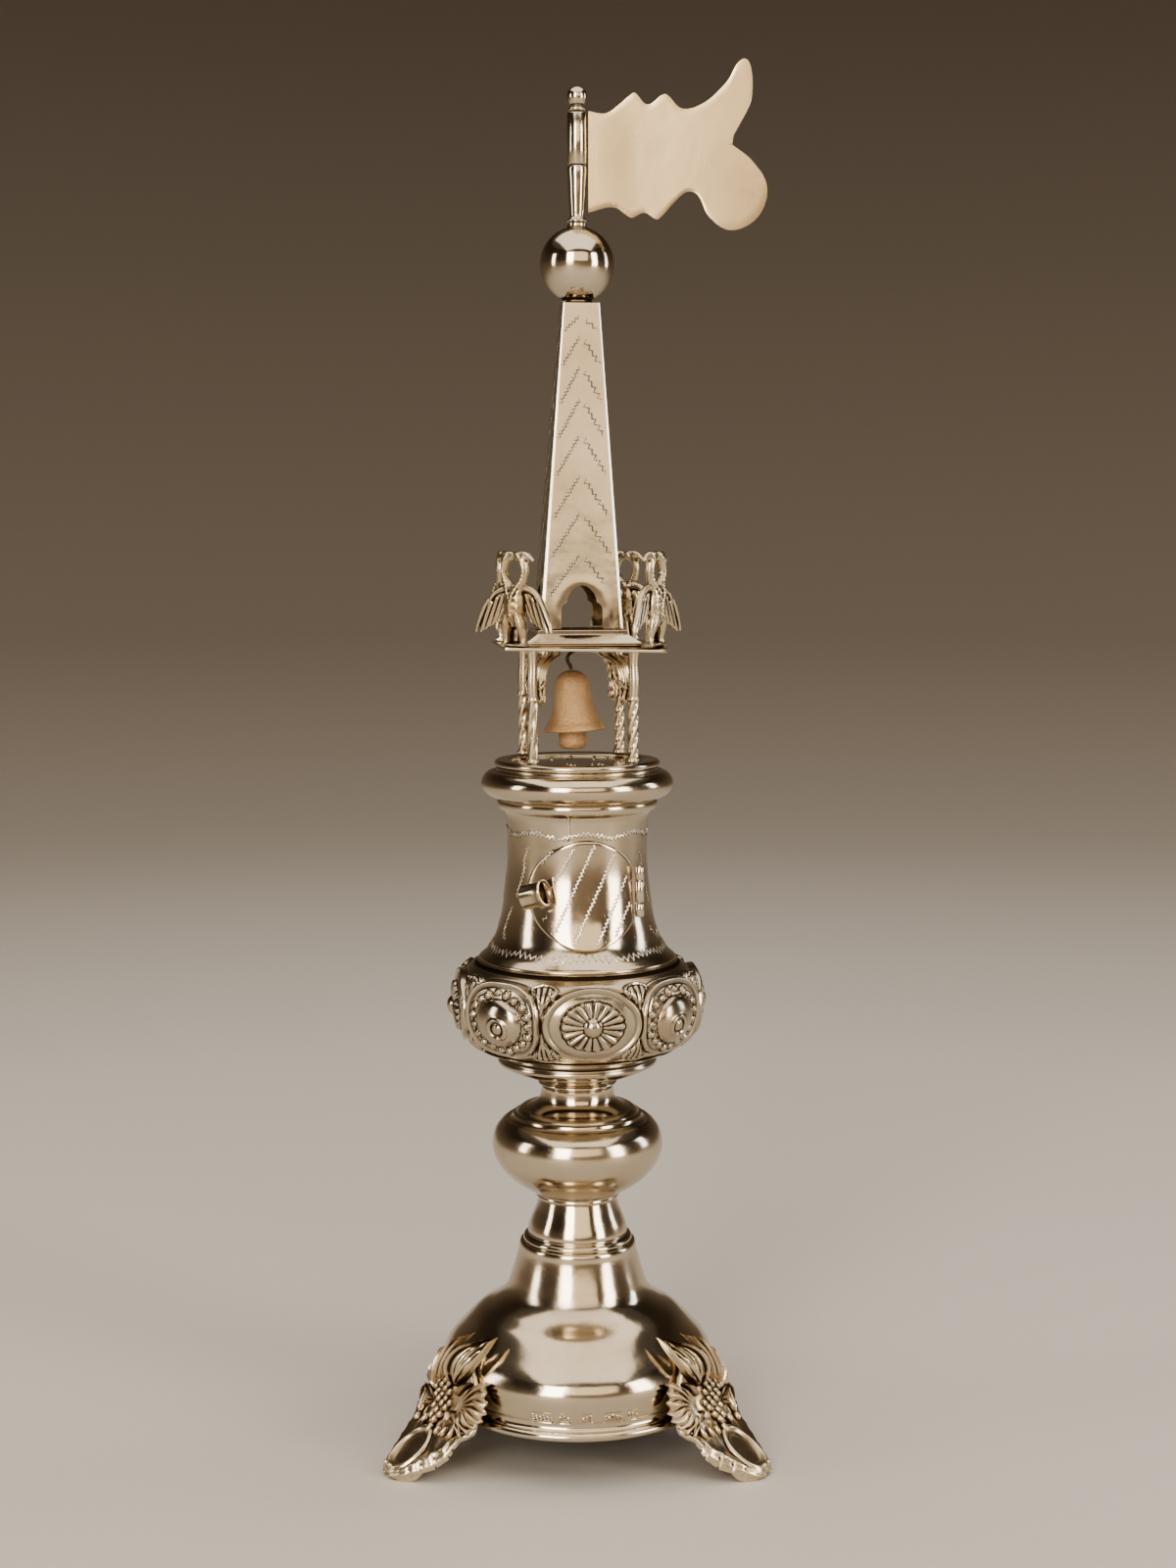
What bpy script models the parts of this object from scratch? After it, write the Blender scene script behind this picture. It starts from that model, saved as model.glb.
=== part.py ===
"""A silver spice tower: bell-shaped base on three cast feet, turned knop, chased spice box with a hinged door,
a bell gallery under four double-headed eagles, an engraved spire, and a flag that turns on its pole.

Sizes are in millimetres on the tower's own axis and become metres when a piece is placed.
The front, with the door, faces -Y.
"""

from math import ceil, cos, pi, radians, sin, sqrt

import bmesh
import bpy
from mathutils import Matrix, Vector

MM = 0.001
GAP = 0.3

# Heights of the joints between the stacked pieces
DOME_TOP = 42.2
COLLAR_TOP = 51.2
KNOP_TOP = 76.1
BOWL_TOP = 101.4
NECK_TOP = 134.2
FLOOR_TOP = 142.1
PLATFORM_TOP = 165.4
SKIRT_TOP = 168.4
SPIRE_TOP = 232.6
BALL_TOP = 248.2
LOWER_TUBE_TOP = 259.3
FLAG_TUBE_TOP = 269.5

# Base and feet
# Each foot's direction, and how far its leaves lean towards the front
FEET = {"foot_left": (-67.0, 12.0), "foot_right": (53.0, -12.0), "foot_back": (173.0, 0.0)}
FOOT_THICKNESS = 1.1
FOOT_LENGTH = 34.6
BEADS_AT = 0.45
TOE_PAD_START = 0.93

# Spice box
DOME_SIDES = 26
BOWL_SIDES = 32
NECK_SIDES = 24
PANELS = 8
BAND_BOTTOM = 83.6
BAND_TOP = 100.2
DOOR_CENTRE_Z = 116.4
DOOR_HALF_WIDTH = 11.6
DOOR_HALF_HEIGHT = 10.7
DOOR_HOLE_RADIUS = 9.4
DOOR_GAP = 0.45
DOOR_THICKNESS = 0.7
DOOR_RIGHT_EDGE = 9.7
HINGE_ANGLE = 41.0
HINGE_RADIUS = 16.75
KNUCKLE_RADIUS = 0.9
KNUCKLE_BORE = 0.58
PIN_RADIUS = 0.28
KNUCKLES = {
    "hinge_knuckle_bottom": (111.6, 114.2),
    "hinge_knuckle_door": (114.5, 118.7),
    "hinge_knuckle_top": (119.0, 121.6),
}
PULL_ANGLE = -35.0
PULL_HEIGHT = 116.6
PULL_LENGTH = 4.6
PULL_SHIFT = 0.7
PULL_RADIUS = 2.75
PULL_BORE = 2.25

# Gallery
COLUMN_OFFSET = 10.0
COLUMN_HALF_WIDTH = 0.72
COLUMN_TWIST_TOP = 154.5
COLUMN_TURNS = 2.0
BRACKET_THICKNESS = 1.3
PLATFORM_WIDTH = 32.3
PLATFORM_THICKNESS = 0.7
BELL_X = -1.2
EAGLE_RADIUS = 19.4
# Where each eagle sits and where it faces
EAGLES = {
    "eagle_front_left": (-45.0, -45.0),
    "eagle_front_right": (45.0, 53.0),
    "eagle_back_right": (142.0, 135.0),
    "eagle_back_left": (-135.0, -112.0),
}

# Spire, ball and flag
SPIRE_BASE_WIDTH = 16.5
SPIRE_TOP_WIDTH = 7.2
SPIRE_LEAN = 0.5
SPIRE_CHAMFER = 0.14
BALL_RADIUS = 7.4
TUBE_RADIUS = 1.95
SPINDLE_RADIUS = 0.9
FLAG_THICKNESS = 0.6
FLAG_TURN = -7.0

# The tower's axis lies off the middle of the box that holds the feet and the flag
AXIS_PLACE = (2.0, -7.25, 0.0)


def silver(name, colour, roughness):
    """A plain metal of the piece's own colour."""
    material = bpy.data.materials.new(name)
    material.use_nodes = True
    shader = material.node_tree.nodes["Principled BSDF"]
    shader.inputs["Base Color"].default_value = (*colour, 1.0)
    shader.inputs["Roughness"].default_value = roughness
    shader.inputs["Metallic"].default_value = 1.0
    return material


def place(name, mesh, material, axis=(0.0, 0.0, 0.0), parent=None, smooth=True):
    """Turn a bmesh in tower millimetres into a named object whose origin lies at axis."""
    bmesh.ops.remove_doubles(mesh, verts=mesh.verts, dist=0.01)
    bmesh.ops.dissolve_degenerate(mesh, dist=0.005, edges=mesh.edges)
    bmesh.ops.triangulate(mesh, faces=mesh.faces)
    bmesh.ops.recalc_face_normals(mesh, faces=mesh.faces)
    bmesh.ops.translate(mesh, verts=mesh.verts, vec=-Vector(axis))
    bmesh.ops.scale(mesh, verts=mesh.verts, vec=(MM, MM, MM))
    data = bpy.data.meshes.new(name)
    mesh.to_mesh(data)
    mesh.free()
    if smooth:
        data.shade_smooth()
        data.set_sharp_from_angle(angle=radians(35))
    data.materials.append(material)
    thing = bpy.data.objects.new(name, data)
    bpy.context.scene.collection.objects.link(thing)
    thing.parent = parent or TOWER
    if parent is None:
        thing.location = Vector(axis) * MM
    return thing


def empty(name, location, parent=None):
    """A parent point, given in tower millimetres."""
    point = bpy.data.objects.new(name, None)
    point.empty_display_size = 0.01
    bpy.context.scene.collection.objects.link(point)
    point.parent = parent
    point.location = Vector(location) * MM
    return point


def polar(radius, degrees, z):
    """A point at an angle measured from the front towards +X."""
    angle = radians(degrees)
    return Vector((radius * sin(angle), -radius * cos(angle), z))


def bridge(mesh, low, high):
    """Join two closed rings of equal length with quads, or a ring with a single point."""
    count = max(len(low), len(high))
    for i in range(count):
        j = (i + 1) % count
        corners = [low[i % len(low)], low[j % len(low)], high[j % len(high)], high[i % len(high)]]
        corners = list(dict.fromkeys(corners))
        if len(corners) > 2:
            mesh.faces.new(corners)


def loft(mesh, rings, capped=True):
    """Skin a row of point rings; a ring of one point closes to a tip."""
    rows = [[mesh.verts.new(point) for point in ring] for ring in rings]
    for low, high in zip(rows, rows[1:]):
        bridge(mesh, low, high)
    if capped:
        for row in (rows[0], rows[-1]):
            if len(row) > 2:
                mesh.faces.new(row)
    return rows


def sheet_between(mesh, front, back):
    """Close two grids of points, one behind the other, into a plate."""
    last_row, last = len(front) - 1, len(front[0]) - 1
    for i in range(last_row):
        for j in range(last):
            mesh.faces.new((front[i][j], front[i][j + 1], front[i + 1][j + 1], front[i + 1][j]))
            mesh.faces.new((back[i][j], back[i + 1][j], back[i + 1][j + 1], back[i][j + 1]))
        for j in (0, last):
            mesh.faces.new((front[i][j], front[i + 1][j], back[i + 1][j], back[i][j]))
    for i in (0, last_row):
        for j in range(last):
            mesh.faces.new((front[i][j], front[i][j + 1], back[i][j + 1], back[i][j]))


def join_rings(mesh, first, second):
    """Skin two rings of equal length, or where one is a single point or has twice the other's points."""
    if len(first) == len(second) or 1 in (len(first), len(second)):
        bridge(mesh, first, second)
        return
    few, many = sorted((first, second), key=len)
    for i, vertex in enumerate(few):
        after = few[(i + 1) % len(few)]
        here, middle, there = (many[(2 * i + k) % len(many)] for k in (0, 1, 2))
        mesh.faces.new((vertex, here, middle))
        mesh.faces.new((vertex, middle, after))
        mesh.faces.new((after, middle, there))


def turned(outside, sides, inside=(), centre=(0.0, 0.0), closed=True):
    """A solid of revolution from (radius, height) points, up the outside and down the inside, which has half the
    sides; a radius of 0 is a pole."""
    mesh = bmesh.new()
    rings = []
    for part, count in ((outside, sides), (inside, sides // 2)):
        for radius, z in part:
            steps = count if radius > 0 else 1
            ring = [polar(radius, 360.0 * i / count, z) + Vector((*centre, 0.0)) for i in range(steps)]
            rings.append([mesh.verts.new(point) for point in ring])
    pairs = list(zip(rings, rings[1:]))
    if closed and outside[0][0] > 0:
        pairs.append((rings[-1], rings[0]))
    for low, high in pairs:
        join_rings(mesh, low, high)
    return mesh


def arc(centre_r, centre_z, radius, start, end, steps):
    """Profile points along an arc, in degrees from the outward direction, counter-clockwise."""
    points = []
    for i in range(steps + 1):
        angle = radians(start + (end - start) * i / steps)
        points.append((centre_r + radius * cos(angle), centre_z + radius * sin(angle)))
    return points


def along(profile, z):
    """The first value of (value, place) pairs at a place, by straight lines: a profile's radius at a height."""
    for (r0, z0), (r1, z1) in zip(profile, profile[1:]):
        if z0 <= z <= z1:
            return r0 + (r1 - r0) * (z - z0) / (z1 - z0)
    return profile[0][0] if z < profile[0][1] else profile[-1][0]


def smooth_closed(points, steps):
    """A closed outline through the points; a third value of 1 marks a corner that stays sharp."""
    result = []
    count = len(points)
    for i in range(count):
        before, start, end, after = (points[(i + k) % count] for k in (-1, 0, 1, 2))
        for s in range(steps):
            t = s / steps
            pair = []
            for axis in (0, 1):
                leave = 0.0 if start[2] else (end[axis] - before[axis]) / 2
                arrive = 0.0 if end[2] else (after[axis] - start[axis]) / 2
                if start[2] and end[2]:
                    leave = arrive = end[axis] - start[axis]
                a, b = start[axis], end[axis]
                pair.append(
                    a * (2 * t**3 - 3 * t**2 + 1)
                    + leave * (t**3 - 2 * t**2 + t)
                    + b * (3 * t**2 - 2 * t**3)
                    + arrive * (t**3 - t**2)
                )
            result.append(tuple(pair))
    return result


def combine(target, tool_mesh, name, operation="DIFFERENCE"):
    """Take a shape away from an object, or add it."""
    bmesh.ops.recalc_face_normals(tool_mesh, faces=tool_mesh.faces)
    bmesh.ops.scale(tool_mesh, verts=tool_mesh.verts, vec=(MM, MM, MM))
    data = bpy.data.meshes.new(name)
    tool_mesh.to_mesh(data)
    tool_mesh.free()
    tool = bpy.data.objects.new(name, data)
    bpy.context.scene.collection.objects.link(tool)
    tool.parent = TOWER
    tool.hide_render = True
    tool.display_type = "WIRE"
    modifier = target.modifiers.new(name, "BOOLEAN")
    modifier.operation = operation
    modifier.solver = "EXACT"
    modifier.object = tool


# Turned profiles, from the bottom up, as (radius, height)
DOME_OUTSIDE = [
    (27.4, 9.7), (28.5, 9.9), (28.8, 10.7), (28.2, 11.5), (27.0, 12.6), (27.8, 15.6), (27.9, 18.0), (27.4, 19.8),
    (24.3, 23.8), (20.8, 27.4), (16.9, 29.7), (14.7, 31.4), (13.3, 35.8), (11.8, DOME_TOP),
]
DOME_INSIDE = [
    (0.0, 41.0), (10.7, 41.0), (12.4, 35.4), (13.7, 30.8), (19.9, 26.8), (23.4, 23.2), (26.5, 18.6),
    (26.0, 12.6), (26.3, 10.2),
]
COLLAR_PROFILE = [
    (0.0, DOME_TOP + GAP), (11.0, DOME_TOP + GAP), (11.2, 43.0), (10.3, 43.6), (10.4, 44.2), (9.8, 46.1), (8.9, 48.4),
    (8.0, COLLAR_TOP), (0.0, COLLAR_TOP),
]
KNOP_PROFILE = [
    (0.0, COLLAR_TOP + GAP), (8.4, COLLAR_TOP + GAP), (8.5, 52.6), (10.8, 53.6), (14.2, 56.2), (16.7, 59.4),
    (17.6, 62.8), (16.8, 65.8), (14.9, 67.9), (13.3, 68.5), (12.8, 69.6), (10.8, 70.5), (8.2, 71.6), (7.5, 73.6),
    (7.6, KNOP_TOP), (0.0, KNOP_TOP),
]
BOWL_BELOW_BAND = [
    (0.0, KNOP_TOP + GAP), (7.8, KNOP_TOP + GAP), (11.8, 77.6), (15.9, 79.9), (16.5, 81.4), (20.2, BAND_BOTTOM),
]
BOWL_BAND = [(20.2, BAND_BOTTOM), (23.6, 87.0), (25.1, 91.0), (25.2, 94.6), (24.2, 97.7), (21.6, BAND_TOP)]
BOWL_LIP = (19.0, BOWL_TOP)
BOWL_INSIDE = [(20.6, 99.6), (23.4, 97.2), (24.1, 93.0), (22.6, 87.6), (19.2, 84.4), (15.2, 82.2), (14.2, 80.4), (0.0, 77.9)]
NECK_OUTSIDE = [
    (19.8, BOWL_TOP + GAP), (18.9, 103.0), (16.9, 105.8), (15.7, 109.7), (14.9, 114.8), (14.2, 121.0), (14.3, 128.3),
    (14.8, 132.0), (16.2, 133.0), (16.2, NECK_TOP), (14.0, NECK_TOP),
]
NECK_INSIDE = [(13.3, 129.0), (13.2, 121.5), (13.9, 114.8), (14.7, 109.7), (15.9, 105.8), (18.6, BOWL_TOP + GAP)]
FLOOR_PROFILE = [
    (0.0, NECK_TOP + GAP), (16.9, NECK_TOP + GAP), *arc(16.9, 137.3, 2.6, -75.0, 75.0, 5), (16.5, 140.4),
    (16.3, FLOOR_TOP), (13.4, FLOOR_TOP), (12.8, 141.5), (0.0, 141.5),
]
SPHERE_CENTRE = SPIRE_TOP + 7.7
BALL_PROFILE = [
    (0.0, SPIRE_TOP + GAP), (2.6, SPIRE_TOP + GAP), *arc(0.0, SPHERE_CENTRE, BALL_RADIUS, -66.0, 72.0, 8),
    (1.9, BALL_TOP), (0.0, BALL_TOP),
]
POLE_PROFILE = [
    (0.0, BALL_TOP + GAP), (1.9, BALL_TOP + GAP), (1.4, 249.4), (TUBE_RADIUS, LOWER_TUBE_TOP),
    (SPINDLE_RADIUS, LOWER_TUBE_TOP), (SPINDLE_RADIUS, FLAG_TUBE_TOP + 0.1), (0.0, FLAG_TUBE_TOP + 0.1),
]
FLAG_TUBE_PROFILE = [
    (TUBE_RADIUS, LOWER_TUBE_TOP + GAP), (TUBE_RADIUS, FLAG_TUBE_TOP), (SPINDLE_RADIUS + GAP, FLAG_TUBE_TOP),
    (SPINDLE_RADIUS + GAP, LOWER_TUBE_TOP + GAP),
]
FINIAL_PROFILE = [
    (0.0, FLAG_TUBE_TOP + 0.4), (1.7, FLAG_TUBE_TOP + 0.4), (1.7, 270.6), (1.2, 270.9),
    *arc(0.0, 272.7, 2.0, -50.0, 66.0, 5), (0.0, 274.7),
]
BELL_PROFILE = [
    (0.0, 160.0), (1.6, 159.8), (3.0, 158.7), (3.7, 156.6), (4.0, 153.4), (4.7, 150.6), (6.1, 148.4), (5.9, 147.9),
    (5.1, 148.2), (3.8, 151.2), (3.2, 154.8), (2.6, 157.6), (0.0, 158.7),
]
CLAPPER_PROFILE = [
    (0.0, 144.2), (2.3, 144.3), (2.75, 145.0), (2.75, 148.6), (0.6, 149.4), (0.5, 158.2), (0.0, 158.2),
]


def base():
    """The raised dome: outer wall, rolled rim and hollow inside, closed by a plate on top."""
    lid_half = turned([(0.0, DOME_TOP), *reversed(DOME_OUTSIDE)], DOME_SIDES, reversed(DOME_INSIDE), closed=False)
    place("base_dome", lid_half, SILVER)


# The foot's middle line at equal steps from above the leaf tip down to the toe, as distance out and height
FOOT_ROUTE = [
    (20.8, 29.8), (23.2, 27.6), (25.8, 24.4), (28.3, 21.2), (29.5, 17.6), (30.2, 13.9), (32.4, 10.0), (36.0, 6.6),
    (40.0, 3.8), (44.0, 1.5),
]
# Half the foot's width, with the place it is measured at: the leaf tip is 0 and the toe is 1
FOOT_HALF_WIDTHS = [
    (3.0, 0.0), (5.0, 0.06), (6.9, 0.12), (7.8, 0.18), (7.8, 0.23), (9.8, 0.3), (12.2, 0.38), (13.0, 0.46), (13.0, 0.56),
    (12.3, 0.6), (10.2, 0.66), (10.2, 0.74), (8.2, 0.85), (4.6, 0.93), (1.8, 1.0),
]


def foot_path(s):
    """The foot's middle line: distance out and height from the leaf tip (0) to the toe (1)."""
    steps = len(FOOT_ROUTE) - 2
    place_on = min(max(s * steps + 1, 0.0), steps + 1)
    i = min(int(place_on), steps)
    t = place_on - i
    return tuple(FOOT_ROUTE[i][k] + (FOOT_ROUTE[i + 1][k] - FOOT_ROUTE[i][k]) * t for k in (0, 1))


def foot_relief(s, w):
    """Height above the sheet: ribbed upper leaves, beaded mound, side fans, raised rim of the sunk oval."""
    across = abs(w) / along(FOOT_HALF_WIDTHS, s)
    if s < 0.27:
        return 0.5 + 0.4 * cos(3 * pi * across)
    if s < 0.64:
        mound = max(0.0, 1.0 - (w / 4.6) ** 2 - ((s - BEADS_AT) / 0.16) ** 2)
        return max(1.9 * sqrt(mound), 0.9 - abs(across - 0.7) / 0.4, 0.2)
    oval = (w / 3.7) ** 2 + ((s - 0.83) / 0.13) ** 2
    return 0.1 if oval < 0.5 else 0.9 if oval < 1.8 else 0.3


def foot(name, degrees, lean):
    """One cast foot: a leafy shell that hugs the dome above and flares out to a flat toe pad."""
    mesh = bmesh.new()
    rows = [0.0, 0.06, 0.13, 0.21, 0.3, 0.39, 0.48, 0.59, 0.66, 0.75, 0.85, TOE_PAD_START, 1.0]
    columns = [-1.0, -0.66, -0.33, 0.0, 0.33, 0.66, 1.0]
    front, back = [], []
    for row in rows:
        front_row, back_row = [], []
        for column in columns:
            w = column * along(FOOT_HALF_WIDTHS, row)
            rise = foot_relief(row, w)
            up = (BEADS_AT - row) * FOOT_LENGTH
            turn = radians(lean) * min(max(up / 6.0, 0.0), 1.0)
            s = BEADS_AT - (up * cos(turn) + w * sin(turn)) / FOOT_LENGTH
            w = w * cos(turn) + up * sin(turn)
            out, height = foot_path(s)
            ahead, behind = foot_path(s + 0.02), foot_path(s - 0.02)
            slope = Vector((ahead[0] - behind[0], ahead[1] - behind[1])).normalized()
            normal = Vector((-slope[1], slope[0]))
            top = (out + normal[0] * rise, height + normal[1] * rise)
            low = (out - normal[0] * FOOT_THICKNESS, max(height - normal[1] * FOOT_THICKNESS, 0.0))
            if row >= TOE_PAD_START:
                low = (low[0], 0.0)
            angle = degrees + 57.3 * w / out
            front_row.append(mesh.verts.new(polar(top[0], angle, top[1])))
            back_row.append(mesh.verts.new(polar(low[0], angle, low[1])))
        front.append(front_row)
        back.append(back_row)
    sheet_between(mesh, front, back)
    place(name, mesh, CAST_SILVER)


def band_point(panel, across, up, height):
    """A point on the chased band: across and up run from -1 to 1 over a panel, height stands off the wall."""
    z = BAND_BOTTOM + (BAND_TOP - BAND_BOTTOM) * (up + 1) / 2
    radius = along(BOWL_BAND, z)
    step = 0.5
    tilt = (along(BOWL_BAND, min(z + step, BAND_TOP)) - along(BOWL_BAND, max(z - step, BAND_BOTTOM))) / (2 * step)
    scale = 1.0 / sqrt(1.0 + tilt * tilt)
    degrees = (panel + across / 2) * 360.0 / PANELS
    return polar(radius + height * scale, degrees, z - height * tilt * scale)


def panel_rings(flower):
    """Rings of a medallion from its frame to its middle: half width, half height, height and rise between petals."""
    if flower:
        return [
            (8.8, 7.3, 0.8, 0.0, 16), (8.0, 6.5, 0.2, 0.0, 16), (6.2, 6.0, 0.2, 0.7, 32), (2.0, 2.0, 0.9, 0.0, 16),
            (0.0, 0.0, 1.4, 0.0, 1),
        ]
    return [
        (8.8, 7.6, 0.7, 0.0, 16), (8.0, 6.8, 0.15, 0.0, 16), (6.4, 5.6, 0.2, 0.0, 16), (4.6, 4.1, 1.0, 0.0, 16),
        (0.0, 0.0, 1.4, 0.0, 1),
    ]


def square_edge(i):
    """Points 0 to 15 round a panel's border, starting at the middle of its right side."""
    side = [(1.0, 0.0), (1.0, 0.5), (1.0, 1.0), (0.5, 1.0)]
    x, y = side[i % 4]
    for _ in range(i // 4):
        x, y = -y, x
    return x, y


def bowl():
    """The round lower half of the box: turned rows, a chased band of medallions, and a hollow inside."""
    mesh = turned(BOWL_BELOW_BAND, BOWL_SIDES, closed=False)
    top = turned([(21.6, BAND_TOP), (20.1, BOWL_TOP), BOWL_LIP], BOWL_SIDES, BOWL_INSIDE, closed=False)
    data = bpy.data.meshes.new("bowl_top")
    top.to_mesh(data)
    top.free()
    mesh.from_mesh(data)
    bpy.data.meshes.remove(data)
    half_width = pi * 25.2 / PANELS
    half_height = 8.9
    for panel in range(PANELS):
        ring = []
        for i in range(16):
            x, y = square_edge(i)
            rib = 0.5 * (1 - abs(y)) if abs(x) == 1.0 else 0.0
            ring.append(mesh.verts.new(band_point(panel, x, y, rib)))
        for width, height, rise, wave, count in panel_rings(panel % 2 == 0):
            inner = []
            for i in range(count):
                angle = 2 * pi * i / count
                x, y = width * cos(angle) / half_width, height * sin(angle) / half_height
                inner.append(mesh.verts.new(band_point(panel, x, y, rise + wave * (i % 2))))
            join_rings(mesh, ring, inner)
            ring = inner
    place("bowl", mesh, SILVER)


def neck():
    """The waisted upper half of the box, with a round hole behind the door."""
    wall = place("neck", turned(NECK_OUTSIDE, NECK_SIDES, NECK_INSIDE), SILVER)
    hole = bmesh.new()
    rings = []
    for y in (-25.0, -5.0):
        steps = 20
        turns = [2 * pi * i / steps for i in range(steps)]
        rings.append([
            Vector((DOOR_HOLE_RADIUS * cos(a), y, DOOR_CENTRE_Z + DOOR_HOLE_RADIUS * sin(a))) for a in turns
        ])
    loft(hole, rings)
    combine(wall, hole, "door_hole")


def door():
    """The bent door plate with its pull, and the hinge that it turns on."""
    hinge = polar(HINGE_RADIUS, HINGE_ANGLE, 0.0)
    axis = (hinge.x, hinge.y, DOOR_CENTRE_Z)
    swing = empty("door_axis", axis, TOWER)
    mesh = bmesh.new()
    columns, rows = 9, 5
    left = -DOOR_HALF_WIDTH + 0.1
    sheets = []
    for lift in (DOOR_GAP + DOOR_THICKNESS, DOOR_GAP):
        sheet = []
        for i in range(columns + 1):
            x = (left + DOOR_RIGHT_EDGE) / 2 - (DOOR_RIGHT_EDGE - left) / 2 * cos(pi * i / columns)
            tall = DOOR_HALF_HEIGHT * sqrt(1.0 - (x / DOOR_HALF_WIDTH) ** 2)
            heights = [DOOR_CENTRE_Z + tall * (2 * j / rows - 1) for j in range(rows + 1)]
            radii = [along(NECK_OUTSIDE, z) + lift for z in heights]
            sheet.append([mesh.verts.new((x, -sqrt(r**2 - x**2), z)) for r, z in zip(radii, heights)])
        sheets.append(sheet)
    sheet_between(mesh, *sheets)
    place("door_plate", mesh, SILVER, axis, swing)

    for name, (low, high) in KNUCKLES.items():
        profile = [(KNUCKLE_RADIUS, low), (KNUCKLE_RADIUS, high), (KNUCKLE_BORE, high), (KNUCKLE_BORE, low)]
        knuckle = turned(profile, 8, centre=(hinge.x, hinge.y))
        moving = name == "hinge_knuckle_door"
        place(name, knuckle, SILVER, axis, swing if moving else None)
    pin = [(0.0, 111.4), (PIN_RADIUS, 111.4), (PIN_RADIUS, 121.8), (0.0, 121.8)]
    place("hinge_pin", turned(pin, 6, centre=(hinge.x, hinge.y)), SILVER)

    plate_radius = along(NECK_OUTSIDE, PULL_HEIGHT) + DOOR_GAP + DOOR_THICKNESS
    centre = polar(plate_radius + PULL_RADIUS + 0.35, PULL_ANGLE, PULL_HEIGHT)
    tangent = Vector((cos(radians(PULL_ANGLE)), sin(radians(PULL_ANGLE)), 0.0))
    outward = Vector((tangent.y, -tangent.x, 0.0))
    tube = bmesh.new()
    rings = []
    for offset, radius in ((-0.5, PULL_RADIUS - 0.3), (0.5, PULL_RADIUS), (0.5, PULL_BORE), (-0.5, PULL_BORE - 0.3)):
        ring = []
        for i in range(12):
            a = 2 * pi * i / 12
            spot = centre + tangent * (offset * PULL_LENGTH + PULL_SHIFT)
            ring.append(tube.verts.new(spot + outward * (radius * cos(a)) + Vector((0, 0, radius * sin(a)))))
        rings.append(ring)
    for low, high in zip(rings, rings[1:] + rings[:1]):
        bridge(tube, low, high)
    place("door_pull", tube, SILVER, axis, swing)


def column(name, side_x, side_y):
    """A twisted square bar with a collar, cast in one with the leafy bracket under the platform."""
    foot_z = FLOOR_TOP + GAP
    head_z = PLATFORM_TOP - PLATFORM_THICKNESS - GAP
    centre = Vector((side_x * COLUMN_OFFSET, side_y * COLUMN_OFFSET, 0.0))
    inward = Vector((-side_x, -side_y, 0.0)).normalized()
    across = Vector((-inward.y, inward.x, 0.0))

    def section(z, width, turn):
        ring = []
        for k in range(4):
            a = turn + pi / 2 * k
            ring.append(centre + inward * (width * cos(a)) + across * (width * sin(a)) + Vector((0, 0, z)))
        return ring

    diagonal = COLUMN_HALF_WIDTH * sqrt(2)
    steps = ceil(COLUMN_TURNS * 6)
    rings = [section(foot_z, 1.5 * diagonal, 0.0), section(foot_z + 0.7, 1.3 * diagonal, 0.0)]
    for i in range(steps + 1):
        t = i / steps
        rings.append(section(foot_z + 1.1 + (COLUMN_TWIST_TOP - foot_z - 1.1) * t, diagonal, 2 * pi * COLUMN_TURNS * t))
    rings.append(section(COLUMN_TWIST_TOP + 0.3, 1.4 * diagonal, 0.0))
    rings.append(section(COLUMN_TWIST_TOP + 0.9, 1.4 * diagonal, 0.0))
    rings.append(section(COLUMN_TWIST_TOP + 1.2, diagonal, 0.0))
    rings.append(section(head_z, 1.1 * diagonal, 0.0))
    bar = bmesh.new()
    loft(bar, rings)
    post = place(name, bar, CAST_SILVER)

    outline = [
        (0.4, 156.6), (1.3, 154.8), (2.4, 153.6), (3.3, 154.8), (3.2, 156.8), (3.7, 159.2), (5.3, 161.9), (8.5, 163.6),
        (8.4, head_z), (2.6, head_z), (2.3, 163.0), (1.3, 162.6), (0.3, 163.2),
    ]
    leaf = bmesh.new()
    half = BRACKET_THICKNESS / 2
    rings = []
    for side in (-half, half):
        rings.append([centre + inward * t + across * side + Vector((0, 0, z)) for t, z in outline])
    loft(leaf, rings)
    combine(post, leaf, name + "_bracket", "UNION")


def square_ring(half, z, chamfer=0.0, lean=0.0):
    """Corner points of a square, or of a square with cut corners, moved sideways by the lean."""
    points = []
    for sx, sy, first in ((1, -1, 0), (1, 1, 1), (-1, 1, 0), (-1, -1, 1)):
        pair = [Vector((sx * (half - chamfer), sy * half, z)), Vector((sx * half, sy * (half - chamfer), z))]
        if first:
            pair.reverse()
        points.extend(pair if chamfer else [Vector((sx * half, sy * half, z))])
    return [point + Vector((lean, 0.0, 0.0)) for point in points]


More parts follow.
